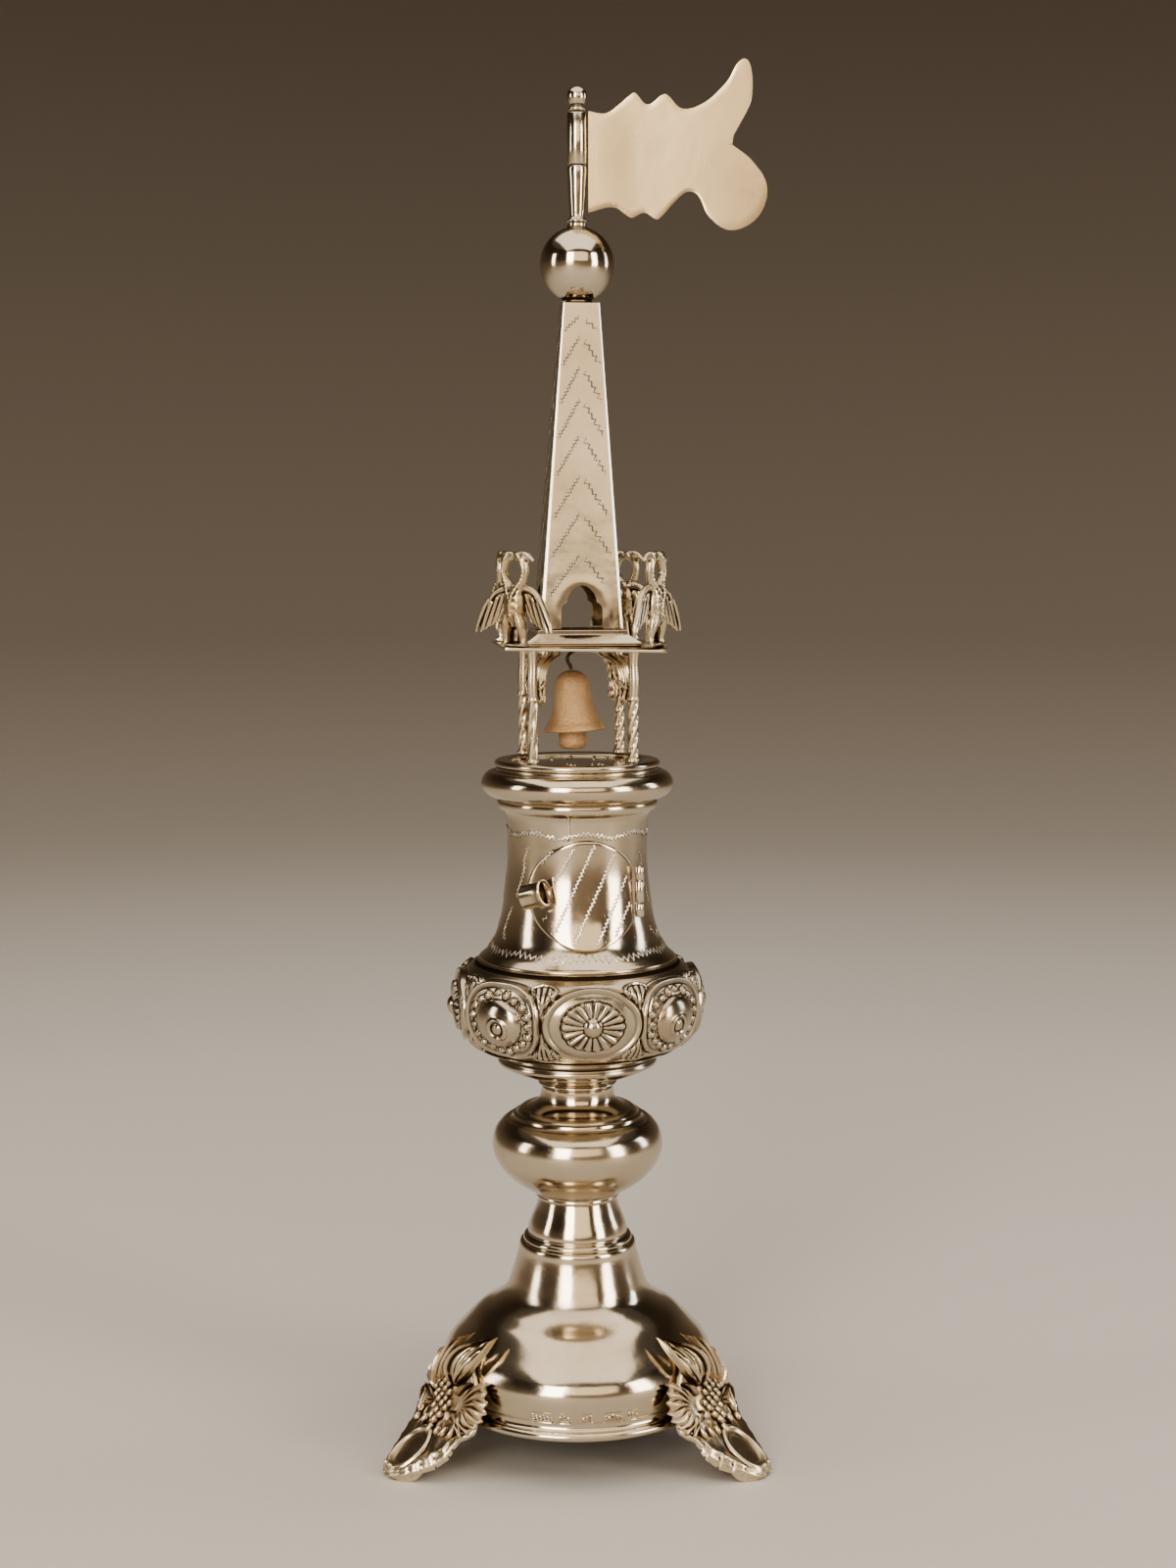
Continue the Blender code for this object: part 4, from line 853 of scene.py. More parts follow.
# Door
# An oval plate bent to the neck's curve, hung on a three-part hinge at its right and pulled by a short
# flared tube soldered on at its left. Seven slanting lines of wriggle work cross it.

DOOR_HALF_WIDTH, DOOR_HALF_HEIGHT = 11.6, 10.7
DOOR_RIGHT_EDGE = 9.7
DOOR_GAP, DOOR_THICKNESS = 0.45, 0.7
HINGE_ANGLE, HINGE_RADIUS = 41.0, 16.75
KNUCKLES = {
    "hinge_knuckle_bottom": (111.6, 114.2, "root"), "hinge_knuckle_door": (114.5, 118.7, "door"),
    "hinge_knuckle_top": (119.0, 121.6, "root"),
}
PULL_ANGLE, PULL_HEIGHT, PULL_LENGTH, PULL_SHIFT = -35.0, 116.6, 4.6, 0.7
PULL_RADIUS, PULL_WALL = 2.75, 0.4
# Places along the pull as shares of its length, and its radius there
PULL_LINE = [(-0.5, 2.3), (-0.47, 2.42), (-0.2, 2.4), (0.1, 2.4), (0.35, 2.5), (0.47, 2.75), (0.5, 2.68)]
# Foot and head of each cut line as (across, up) from the door's middle
DOOR_LINES = [
    ((-9.0, 5.6), (-6.3, 9.2)), ((-6.2, 2.4), (-2.2, 9.6)), ((-6.4, -7.6), (1.9, 10.2)),
    ((-2.6, -9.6), (6.0, 8.4)), ((1.9, -9.9), (8.6, 3.9)), ((5.6, -8.6), (9.3, -1.2)),
    ((-8.6, -5.4), (-7.7, -3.7)),
]


def on_door(points):
    """Places on the door's face for (across, up) seen from the front, and the normal there."""
    x, z = points[..., 0], points[..., 1]
    radius = wall_radius(neck_line, z) + DOOR_GAP + DOOR_THICKNESS
    spots = np.stack([x, -np.sqrt(radius**2 - x**2), z], -1)
    normals = np.stack([x / radius, spots[..., 1] / radius, 0 * z], -1)
    return spots, normals


def door_sheet():
    """The door: rings shrink from the oval edge, cut straight beside the hinge, to the middle, on the front
    face and back on the rear one. The edge is rounded by two more rings."""
    around = np.linspace(0, 2 * np.pi, 160, endpoint=False)
    x = np.minimum((DOOR_HALF_WIDTH - 0.1) * np.cos(around), DOOR_RIGHT_EDGE)
    tall = DOOR_HALF_HEIGHT * np.sqrt(1 - np.clip(x / DOOR_HALF_WIDTH, -1, 1) ** 2)
    z = np.clip(DOOR_HALF_HEIGHT * np.sin(around), -tall, tall)
    face = np.linspace(0, 0.93, 16)
    sizes = np.concatenate([face, [0.97, 0.988, 1.0, 1.0, 0.988], face[::-1]])
    inset = np.concatenate([np.zeros(17), [0.06, 0.2, 0.5, 0.64], np.full(16, DOOR_THICKNESS)])
    spots, normals = on_door(np.stack([x * sizes[:, None], DOOR_MIDDLE + z * sizes[:, None]], -1))
    return skin(spots - normals * inset[:, None, None])


def tube_along(route, radii, thick=0.0, sides=12):
    """A round bar, or a tube where a thickness is given: circles of the given radii along a route."""
    route = np.asarray(route, float)[:, None]
    ahead = unit(np.gradient(route, axis=0))
    side = unit(np.cross(ahead, np.where(np.abs(ahead[..., 2:]) > 0.8, [0.0, 1.0, 0.0], [0.0, 0.0, 1.0])))
    turn = (np.arange(sides) * 2 * np.pi / sides)[:, None]
    circles = np.cos(turn) * side + np.sin(turn) * np.cross(side, ahead)
    radii = np.broadcast_to(radii, len(route))[:, None, None]
    outer = route + circles * radii
    if thick:
        return skin(np.concatenate([outer, (route + circles * (radii - thick))[::-1]]), close_rows=True)
    return skin(capped(outer))


def upright(heights):
    """A route up the hinge's axis."""
    return spot(HINGE_RADIUS, HINGE_ANGLE, heights)


piece("door_sheet", [door_sheet()], SPUN_SILVER, ["door_plate"], "door")
piece("door_wriggle_work", [
    wriggle(np.array(line) + [0, DOOR_MIDDLE], on_door, pitch=0.82, swing=0.27) for line in DOOR_LINES
], CUT_SILVER, body="door", crease=180, painted_light_and_shade=PAINTED_CUT_LIGHT_AND_SHADE)

for name, (low, high, body) in KNUCKLES.items():
    route = upright([low, low + 0.12, (low + high) / 2, high - 0.12, high])
    rolled = tube_along(route, [0.8, 0.9, 0.9, 0.9, 0.8], 0.32, sides=24)
    piece(name + "_rolled", [rolled], SPUN_SILVER, [name], body)
pin = tube_along(upright([111.4, 111.5, 121.7, 121.8]), [0.2, 0.28, 0.28, 0.2])
piece("hinge_wire", [pin], SPUN_SILVER, ["hinge_pin"])

door_radius = wall_radius(neck_line, PULL_HEIGHT) + DOOR_GAP + DOOR_THICKNESS
pull_middle = spot(door_radius + PULL_RADIUS + 0.35, PULL_ANGLE, PULL_HEIGHT)
pull_way = np.array([np.cos(np.radians(PULL_ANGLE)), np.sin(np.radians(PULL_ANGLE)), 0.3])
pull_shares, pull_radii = np.array(PULL_LINE).T
pull_route = pull_middle + pull_way * (pull_shares * PULL_LENGTH + PULL_SHIFT)[:, None]
solder = skin(ball(7, 10) * [0.5, 0.5, 0.4] + on_door(np.array([-7.2, 113.4]))[0] + [0, -0.1, 0])
pull = tube_along(pull_route, pull_radii, PULL_WALL, 48)
piece("pull_tube", [pull, solder], SPUN_SILVER, ["door_pull"], "door")


# Gallery floor
# A hollow rolled ring closes the box and carries a step with a sunk disc, on which crumbs of solder lie.

FLOOR_LINE = [
    (0.0, 134.25, 1), (16.0, 134.25, 1), (16.9, 134.5), (18.2, 135.05), (19.15, 136.1), (19.5, 137.3),
    (19.15, 138.5), (18.2, 139.55), (17.2, 139.9), (16.6, 140.0, 1), (16.45, 140.5), (16.75, 141.0),
    (16.75, 141.6), (16.4, 142.0), (15.8, 142.1), (14.2, 142.05), (13.4, 141.9, 1), (13.0, 141.55),
    (12.6, 141.5), (6.0, 141.5), (0.0, 141.5, 1),
]


def crumbs(count, inner, outer, height, size, seed):
    """Small lumps scattered over a ring of the disc: squashed balls of random place, size and stretch."""
    chance = np.random.default_rng(seed)
    far, angle = np.sqrt(chance.uniform(inner**2, outer**2, count)), chance.uniform(0, 360, count)
    scale = chance.uniform(0.4, 1.0, (count, 3)) * size
    return [skin(ball(5, 6) * scale[k] + spot(far[k], angle[k], height)) for k in range(count)]


piece("floor_ring", [turned(smooth_line(FLOOR_LINE, 6))], SPUN_SILVER, ["gallery_floor"])
solder = crumbs(count=46, inner=3.0, outer=12.4, height=141.5, size=0.3, seed=4)
piece("solder_crumbs", solder, CAST_SILVER, reach=0.2)


# Four columns
# Cast bars of twisted square section, each in one with a leafy bracket that braces the platform.

COLUMN_OFFSET, COLUMN_FOOT, COLUMN_HEAD = 10.0, 142.4, 164.4
# The way each bracket points in degrees from +X, and the turns of its bar over its length
COLUMNS = {
    "front_left": (45, 0.35), "front_right": (135, 0.9), "back_left": (-45, 0.8), "back_right": (225, 1.0),
}
# Column side and free edge of a bracket as (inward, height), from the tip of its tongue up to the platform
BRACKET_EDGES = [
    [(2.4, 153.5), (1.5, 154.4), (0.9, 155.8), (0.3, 157.6), (0.2, 159.6), (0.6, 161.4), (1.7, 162.5),
     (2.5, 163.3), (2.6, 164.4)],
    [(2.5, 153.4), (3.2, 154.5), (3.5, 156.2), (3.7, 158.2), (4.0, 160.0), (4.9, 161.5), (6.3, 162.7),
     (8.3, 163.5), (8.6, 164.4)],
]
# Limbs of a column as (inward, height, half width, half thickness), and a bud with its sideways place after
# the height, which is also cast mirrored
COLUMN_LIMBS = {
    "shaft": [(0, 154.5, 1, 0.85), (-0.1, 158, 1.2, 0.95), (0, 161.5, 1.05, 0.85), (0, 164.4, 1.3, 0.95)],
    "foot_ring": [(0, 142.4, 1.3, 1.3), (0, 142.85, 1.3, 1.3), (0, 143.3, 0.95, 0.95)],
    "middle_ring": [(0, 154.2, 0.9, 0.9), (0, 154.7, 1.25, 1.25), (0, 155.2, 1.15, 1.15)],
    "top_curl": [(2.6, 163.6, 0.3, 0.3), (1.2, 163.2, 0.45, 0.4), (0.2, 163.6, 0.6, 0.5)],
}
BUD = [(0.9, 156.8, -0.7, 0.35, 0.3), (2.3, 157.6, -0.85, 0.45, 0.35), (3.3, 159.3, -0.6, 0.25, 0.25)]
LIMB_SIDES, BAR_SIDES = 14, 20


def limb(route):
    """A cast limb that lies mainly in one plane: ovals carried along a route of (x, z, half width, half
    thickness), or with y after z."""
    if len(route[0]) == 4:
        route = [(x, z, 0.0, wide, thick) for x, z, wide, thick in route]
    line = smooth_line(route, 6)
    ahead = unit(np.gradient(line[:, :2], axis=0))
    x, z, y, wide, thick = line.T[..., None]
    turn = np.arange(LIMB_SIDES) * 2 * np.pi / LIMB_SIDES
    side = wide * np.cos(turn)
    ovals = np.stack([x - ahead[:, 1:] * side, y + thick * np.sin(turn), z + ahead[:, :1] * side], -1)
    return skin(capped(ovals))


def twisted_bar(low, high, half, turns):
    """A square bar with hollowed sides, twisted along its length: radius half (0.85 + 0.35 cos^2 2a)."""
    t, a = np.linspace(0, 1, 60)[:, None], np.arange(BAR_SIDES) * 2 * np.pi / BAR_SIDES
    radius, angle = half * (0.85 + 0.35 * np.cos(2 * a) ** 2), a + 2 * np.pi * turns * t
    height = low + (high - low) * t + 0 * a
    return skin(capped(np.stack([radius * np.cos(angle), radius * np.sin(angle), height], -1)))


def bracket():
    """The leaf as a closed shell between its two edge lines. Its faces swell as 0.3 + 0.4 sqrt(1 - s^2), and
    folds run from the tongue up to the platform; short notches cut the free edge."""
    column_side, free_edge = (smooth_line(line, 6)[:, None] for line in BRACKET_EDGES)
    t, s = np.linspace(0, 1, len(free_edge))[:, None], np.linspace(-1, 1, 33)
    part = (s[:, None] + 1) / 2
    leaf = column_side * (1 - part) + free_edge * part
    notch = 0.16 * np.cos(50 * t) * soft_step(s, 0.4, 1.0) * soft_step(-t, -0.95, -0.85)
    inward, height = leaf[..., 0] + notch, leaf[..., 1] - 0.5 * notch
    folds = 0.24 * np.cos(7.5 * s + 2.6 * np.sin(4.5 * t) + 1.0) + 0.12 * np.cos(15 * s - 16 * t)
    half = 0.3 + (0.42 + folds) * np.sqrt(np.clip(1 - s**2, 0, 1))
    half = half * (0.45 + 0.55 * soft_step(t, 0.0, 0.15))
    return shell(*(np.stack([inward, sign * half, height], -1) for sign in (-1, 1)))


def swung(points, degrees):
    """Points turned about the upright axis, from +X towards +Y."""
    a = np.radians(degrees)
    return points @ np.array([[np.cos(a), np.sin(a), 0], [-np.sin(a), np.cos(a), 0], [0, 0, 1]])


def mirrored(part, signs):
    """A skin with the signs of its points' values changed, and its quads turned back outwards."""
    points, quads = part
    return points * signs, quads[:, ::-1]


# Ends and half width of the twisted part of a column
BAR_LOW, BAR_HIGH, BAR_HALF = 142.9, 154.8, 0.95
bud = limb(BUD)
column_parts = [bracket(), *map(limb, COLUMN_LIMBS.values()), bud, mirrored(bud, [1, -1, 1])]
for name, (degrees, turns) in COLUMNS.items():
    placed = []
    for points, quads in [twisted_bar(BAR_LOW, BAR_HIGH, BAR_HALF, turns), *column_parts]:
        points = swung(points - [COLUMN_OFFSET * np.sqrt(2), 0, 0], degrees)
        points[:, 2] = np.clip(points[:, 2], COLUMN_FOOT, COLUMN_HEAD)
        placed.append((points, quads))
    piece(f"column_{name}_cast", placed, CAST_SILVER, [f"column_{name}"], crease=60, reach=0.5)


# Bell
# A small cast bell of pinkish base metal, dull and grainy, hung a little askew on a bent wire.

BELL_CROWN = np.array([-1.2, 0.0, 160.0])
BELL_LINE = [
    (0.0, 160.0, 1), (0.9, 159.98), (1.9, 159.6), (2.9, 158.75), (3.5, 157.4), (3.75, 155.6), (4.0, 153.4),
    (4.5, 151.4), (5.2, 149.7), (6.0, 148.6), (6.15, 148.2), (5.9, 147.9, 1), (5.2, 148.2), (4.2, 150.6),
    (3.6, 153.0), (3.2, 155.6), (2.6, 157.6), (0.0, 158.7, 1),
]
CLAPPER_LINE = [
    (0.0, 144.2, 1), (1.6, 144.22), (2.3, 144.4), (2.7, 145.0), (2.75, 146.8), (2.6, 148.4), (2.0, 149.1, 1),
    (0.7, 149.4), (0.5, 150.4), (0.5, 158.2, 1), (0.0, 158.2, 1),
]
HOOK_ROUTE = [
    (-0.6, 164.4), (-0.7, 163.9), (-1.3, 163.5), (-1.9, 162.8), (-1.9, 161.8), (-1.4, 160.9), (-1.2, 160.2),
]


def hung(line, sides, degrees):
    """A turned bell part, swung about its crown in the plane of the picture."""
    points, quads = turned(line, sides)
    sideways = (points - [0, 0, BELL_CROWN[2]])[:, [0, 2, 1]]
    return swung(sideways, degrees)[:, [0, 2, 1]] + BELL_CROWN, quads


BELL_METAL = metal_finish(
    "dull_bell_metal", "bell_metal", 0.28, clean=(0.68, 0.46, 0.27), toned=(0.36, 0.22, 0.12),
    patina_shade_colour=(0.13, 0.075, 0.04), polish=0.46, toning=1.0, patina_and_shade=0.8, grain=1.1, metallic=0.35,
)
DARK_WIRE = metal_finish(
    "dark_wire", "silver", 0.05, clean=(0.12, 0.1, 0.08), toned=(0.08, 0.06, 0.045),
    patina_shade_colour=(0.05, 0.04, 0.03), polish=0.35, toning=0.8, patina_and_shade=1.0, grain=0.3,
)
piece("cast_bell", [hung(smooth_line(BELL_LINE, 6), sides=72, degrees=3.0)], BELL_METAL, ["bell"])
piece("clapper", [hung(smooth_line(CLAPPER_LINE, 5), sides=48, degrees=1.0)], BELL_METAL, ["bell_clapper"])
hook = np.insert(smooth_line(HOOK_ROUTE, 6), 1, 0.0, axis=1)
piece("hook_wire", [tube_along(hook, 0.36)], DARK_WIRE, ["bell_hook"])


# Platform and plinth
# A square of silver sheet, a little bent at its front edge, and the bevelled plinth under the spire.

SQUARE_SIDE_STEPS = 24
PLATFORM_BOTTOM, PLATFORM_TOP = 164.7, 165.4
# Half side and height of each square ring
PLATFORM_STEPS = [
    (0.0, PLATFORM_BOTTOM), (8.0, PLATFORM_BOTTOM), (15.6, PLATFORM_BOTTOM), (16.0, 164.75), (16.15, 165.0),
    (16.1, 165.3), (15.9, PLATFORM_TOP), (8.0, PLATFORM_TOP), (0.0, PLATFORM_TOP),
]
PLINTH_STEPS = [
    (6.6, 165.45), (11.55, 165.45), (11.6, 165.6), (11.6, 165.95), (11.5, 166.05), (9.45, 167.35),
    (9.25, 167.5), (9.05, 167.6), (8.98, 167.7), (8.95, 168.3), (8.85, 168.4), (6.6, 168.4),
]


def square_turned(steps, corner, close=True):
    """Square rings of the given half sides and heights, skinned into one piece. A square's edge of half side
    1 is walked at an even pace, and its corner stretches follow quarter circles of the corner's radius."""
    t = np.arange(SQUARE_SIDE_STEPS * 4) / SQUARE_SIDE_STEPS
    y = t % 1.0 * 2 - 1
    over = np.clip((np.abs(y) - 1 + corner) / corner, 0, 1)
    bend = over * np.pi / 4
    x = np.where(over > 0, 1 - corner + corner * np.cos(bend), 1.0)
    y = np.where(over > 0, np.sign(y) * (1 - corner + corner * np.sin(bend)), y)
    turn = t.astype(int) * np.pi / 2 - np.pi / 2
    x, y = x * np.cos(turn) - y * np.sin(turn), x * np.sin(turn) + y * np.cos(turn)
    half, height = np.array(steps).T[..., None]
    return skin(np.stack([x * half, y * half, height + 0 * x], -1), close_rows=close)


plate_points, plate_quads = square_turned(PLATFORM_STEPS, corner=0.05, close=False)
bend = soft_step(-plate_points[:, 1], 13.0, 16.2)
plate_points[:, 2] -= bend * (0.25 + 0.018 * plate_points[:, 0])
piece("platform_sheet", [(plate_points, plate_quads)], SPUN_SILVER, ["platform"])
piece("plinth", [square_turned(PLINTH_STEPS, corner=0.03)], SPUN_SILVER, ["spire_skirt"], crease=25)


# Four eagles
# Cast double-headed eagles, one at each corner of the platform: two heads with hooked beaks on looped necks,
# a chain of pellets down the breast, drooping ridged wings, and thick legs on a small plate.

EAGLE_RADIUS = 19.4
# Where each eagle sits and where it faces
EAGLES = {
    "eagle_front_left": (-45.0, -45.0), "eagle_front_right": (45.0, 53.0),
    "eagle_back_right": (142.0, 135.0), "eagle_back_left": (-134.0, -98.0),
}
# Limbs on one side as (x, z, y, half width, half thickness), mirrored for the other side
EAGLE_SIDE = {
    "neck": [
        (0.7, 9.8, -0.3, 1.4, 1.2), (1.2, 11.4, -0.3, 1.1, 1.0), (2.1, 12.9, -0.2, 0.85, 0.85),
        (2.6, 14.5, -0.2, 0.75, 0.8), (2.3, 16.0, -0.2, 0.9, 0.9), (1.8, 17.2, -0.2, 1.0, 0.95),
    ],
    "head": [
        (0.1, 17.3, 0.0, 0.6, 0.7), (1.2, 17.4, 0.0, 1.0, 1.05), (2.3, 17.3, 0.0, 1.0, 1.0),
        (3.2, 17.3, 0.0, 0.65, 0.7), (4.1, 17.1, 0.0, 0.4, 0.45), (4.5, 16.5, 0.0, 0.2, 0.3),
    ],
    "lower_beak": [(2.0, 16.9, 0.0, 0.5, 0.5), (2.9, 16.6, 0.0, 0.3, 0.35), (3.5, 16.4, 0.0, 0.15, 0.2)],
    "crest": [
        (-0.2, 17.6, 0.0, 0.45, 0.8), (1.0, 18.1, 0.0, 0.45, 0.95), (2.6, 18.1, 0.0, 0.4, 0.8),
        (3.7, 17.7, 0.0, 0.25, 0.4),
    ],
    "shoulder": [
        (1.2, 11.2, 0.2, 0.9, 0.9), (2.9, 11.3, 0.2, 0.75, 0.8), (4.9, 10.4, 0.1, 0.55, 0.7),
        (6.8, 8.3, -0.1, 0.5, 0.65), (8.3, 5.9, -0.3, 0.45, 0.55), (9.2, 3.9, -0.4, 0.35, 0.4),
        (9.5, 2.6, -0.4, 0.2, 0.3),
    ],
    "wing_sheet": [
        (1.6, 10.4, 0.2, 1.1, 0.5), (3.4, 9.0, 0.2, 1.9, 0.45), (5.4, 6.9, 0.05, 2.1, 0.4),
        (7.0, 4.9, -0.15, 1.5, 0.35), (8.2, 3.4, -0.3, 0.6, 0.3),
    ],
    "feather_1": [
        (2.2, 9.8, 0.3, 0.8, 0.5), (3.6, 7.6, 0.3, 0.75, 0.45), (4.2, 5.6, 0.2, 0.6, 0.35),
        (4.5, 4.6, 0.1, 0.3, 0.3),
    ],
    "feather_2": [
        (3.2, 10.0, 0.2, 0.7, 0.5), (4.9, 7.6, 0.2, 0.7, 0.45), (5.5, 5.3, 0.1, 0.6, 0.35),
        (5.8, 4.1, 0.0, 0.3, 0.3),
    ],
    "feather_3": [
        (4.4, 9.6, 0.1, 0.6, 0.5), (6.0, 7.2, 0.1, 0.65, 0.4), (6.8, 4.8, 0.0, 0.55, 0.35),
        (7.2, 3.4, -0.1, 0.3, 0.3),
    ],
    "feather_4": [
        (5.6, 8.6, 0.0, 0.5, 0.45), (7.2, 6.2, -0.1, 0.6, 0.4), (8.1, 3.8, -0.2, 0.5, 0.35),
        (8.4, 2.7, -0.3, 0.3, 0.3),
    ],
    "thigh": [
        (0.9, 6.4, -0.3, 1.0, 1.3), (1.6, 4.8, -0.4, 1.15, 1.35), (2.0, 3.2, -0.3, 0.95, 1.05),
        (2.1, 1.6, -0.1, 0.65, 0.75), (2.2, 0.5, -0.1, 0.85, 1.0),
    ],
    "tail": [
        (0.4, 5.0, 0.9, 0.8, 0.6), (0.7, 3.0, 1.0, 0.8, 0.45), (0.9, 1.2, 1.0, 0.9, 0.4),
        (1.0, 0.3, 1.0, 0.9, 0.4),
    ],
}
EAGLE_MIDDLE = {
    "body": [
        (0.0, 3.8, 0.1, 0.9, 0.9), (0.0, 5.4, 0.0, 2.0, 1.6), (0.0, 7.8, 0.0, 2.5, 1.95),
        (0.0, 9.8, 0.0, 2.3, 1.8), (0.0, 11.6, 0.0, 1.4, 1.1), (0.0, 12.2, 0.0, 0.5, 0.5),
    ],
    "plate": [(-3.0, 0.35, 0.0, 0.35, 1.3), (0.0, 0.35, 0.0, 0.35, 1.6), (3.0, 0.35, 0.0, 0.35, 1.3)],
}
# Pellets hang down one side of the breast as (x, z, y), and the first ten of them also down the other
PELLET_CHAIN = [
    (2.2, 16.4, -0.95), (2.6, 14.5, -0.9), (1.7, 12.3, -1.0), (0.7, 10.4, -1.85), (0.1, 8.2, -2.0),
    (0.0, 6.2, -1.75),
]
PELLET_RADIUS = 0.36
# How many pellets of the chain lie on both sides
PAIRED_PELLETS = 10
EAGLE_TOP, EAGLE_HALF_DEPTH = 18.6, 2.1


def fused(skins, voxel, soften):
    """Skins that run into each other, made one closed surface by a voxel remesh and smoothed a little, as a
    casting comes from its mould."""
    lump = in_scene("fusing", mesh_of("fusing", *joined(skins)))
    remesh = lump.modifiers.new("remesh", "REMESH")
    remesh.mode, remesh.voxel_size = "VOXEL", voxel
    smooth = lump.modifiers.new("smooth", "SMOOTH")
    smooth.factor, smooth.iterations = 0.5, soften
    made = lump.evaluated_get(bpy.context.evaluated_depsgraph_get()).to_mesh()
    points, corners = values_of(made.vertices, "co", 3), values_of(made.loops, "vertex_index", kind=np.int64)
    bpy.data.objects.remove(lump, do_unlink=True)
    return points, corners.reshape(-1, 4)


def eagle():
    """The casting in its own place: limbs on both sides, the body and the pellets, fused."""
    parts = [*map(limb, EAGLE_MIDDLE.values())]
    for part in map(limb, EAGLE_SIDE.values()):
        parts += [part, mirrored(part, [-1, 1, 1])]
    chain = smooth_line(PELLET_CHAIN, 3)[:, [0, 2, 1]]
    chain = (*chain, *(chain[:PAIRED_PELLETS] * [-1, 1, 1]))
    parts += [skin(ball(7, 10) * PELLET_RADIUS + place) for place in chain]
    return fused(parts, voxel=0.18, soften=1)


eagle_points, eagle_quads = eagle()
# Feathers run down the wings and scales cover the body
wide, up = np.abs(eagle_points[:, 0]), eagle_points[:, 2]
feathers = np.abs(np.cos(2.9 * (0.92 * wide + 0.38 * up))) * soft_step(wide, 2.4, 3.2)
scales = np.cos(4.2 * wide) * np.cos(4.2 * up) * soft_step(-wide, -2.6, -2.0)
relief = 0.2 * feathers * soft_step(-up, -10.6, -9.4) + 0.045 * scales * soft_step(-up, -14.0, -12.5)
eagle_points[:, 1] += np.sign(eagle_points[:, 1]) * relief
eagle_points = np.clip(eagle_points, [-np.inf, -EAGLE_HALF_DEPTH, 0], [np.inf, EAGLE_HALF_DEPTH, EAGLE_TOP])
for name, (seat, facing) in EAGLES.items():
    placed = swung(eagle_points, facing) + spot(EAGLE_RADIUS, seat, PLATFORM_TOP + 0.05)
    piece(name + "_cast", [(placed, eagle_quads)], CAST_SILVER, [name], crease=65, reach=0.5)


# Spire
# A tall hollow pyramid folded from sheet, with cut edges and an arch sawn out of each face. Each face
# carries a ladder of chevrons in wriggle work, finer on the left leg than on the right.

SPIRE_BASE, SPIRE_TOP = 168.7, 232.6
SPIRE_HALVES = (8.25, 3.6)
# Shift to the right at the top, share of a face between its cut edges, and thickness
SPIRE_LEAN, SPIRE_FLAT, SPIRE_WALL = 0.5, 0.93, 0.7
ARCH_ROWS_TOP = 182.0
ARCH_SIDE = [
    (-4.1, SPIRE_BASE, 1), (-4.1, 172.3), (-4.0, 173.0), (-3.5, 173.6), (-2.95, 173.9, 1), (-2.8, 174.9),
    (-2.0, 176.2), (-1.0, 177.0),
]
ARCH_CROWN = (0.0, 177.2)
# Height of each chevron's point, and the share of the half face that its legs drop over
CHEVRONS = [
    (230.2, 0.9), (226.2, 1.5), (220.3, 1.7), (214.0, 1.65), (206.9, 1.55), (199.0, 1.45), (191.7, 1.4),
    (183.6, 1.25),
]


def spire_half(height):
    """Half side of the spire at a height, on a straight line from its base to its top."""
    return np.interp(height, (SPIRE_BASE, SPIRE_TOP), SPIRE_HALVES)


def spire_face(face, across, height, depth):
    """Places on one of the four leaning faces for millimetres across and height, sunk by a depth."""
    lean = SPIRE_LEAN * (height - SPIRE_BASE) / (SPIRE_TOP - SPIRE_BASE)
    points = np.stack(np.broadcast_arrays(across, depth - spire_half(height), height), -1)
    return swung(points, 90.0 * face) + np.stack([lean, 0 * lean, 0 * lean], -1)


def hammered(across, height):
    """Shallow dents of a hand-folded face: slow waves, and a swelling round the arch."""
    waves = 0.012 * np.sin(across * 0.9 + height * 0.31) * np.sin(height * 0.17 + 1.3)
    return waves - 0.07 * ridge(np.hypot(across * 1.05, (height - 172.2) * 0.95), 5.4, 0.9)


# The lower part of a face is a ring of cells from a border, as (share of the half face, height), to the arch
leg_rows, face_columns = np.linspace(SPIRE_BASE, ARCH_ROWS_TOP, 29), np.linspace(-1, 1, 21)
border = run_of((-1.0, leg_rows[:-1]), (face_columns, ARCH_ROWS_TOP), (1.0, leg_rows[-2::-1]))
arch_line = smooth_line([*ARCH_SIDE, ARCH_CROWN, *((-x, *rest) for x, *rest in ARCH_SIDE[::-1])], 10)
arch_shares = np.interp(np.arange(len(border)), (0, 28, 48, 76), (0, 0.4, 0.6, 1))
arch = points_at(arch_line, arch_shares * way_along(arch_line)[-1])
part = np.linspace(0, 1, 15)[:, None]
upper_rows = np.linspace(ARCH_ROWS_TOP, SPIRE_TOP, 61)[:, None]


def face_grids(face, inner):
    """The lower grid round the arch and the upper grid of a face, for its outside or its inside."""
    grids = []
    for share_across, height, hole in ((border[:, 0], border[:, 1], arch), (face_columns, upper_rows, None)):
        half = spire_half(height)
        flat = half - SPIRE_WALL if inner else half * SPIRE_FLAT
        across, height = np.broadcast_arrays(share_across * flat, height)
        if hole is not None:
            across = across * (1 - part) + hole[:, 0] * part
            height = height * (1 - part) + hole[:, 1] * part
        edge = np.clip((1 - np.abs(across) / (spire_half(height) * SPIRE_FLAT)) * 4, 0, 1)
        shallow = np.clip((SPIRE_TOP - height) / 4, 0, 1) * np.clip((height - SPIRE_BASE) / 2, 0, 1) * edge
        depth = hammered(across, height) * shallow + (SPIRE_WALL if inner else 0.0)
        grids.append(spire_face(face, across, height, depth))
    return grids


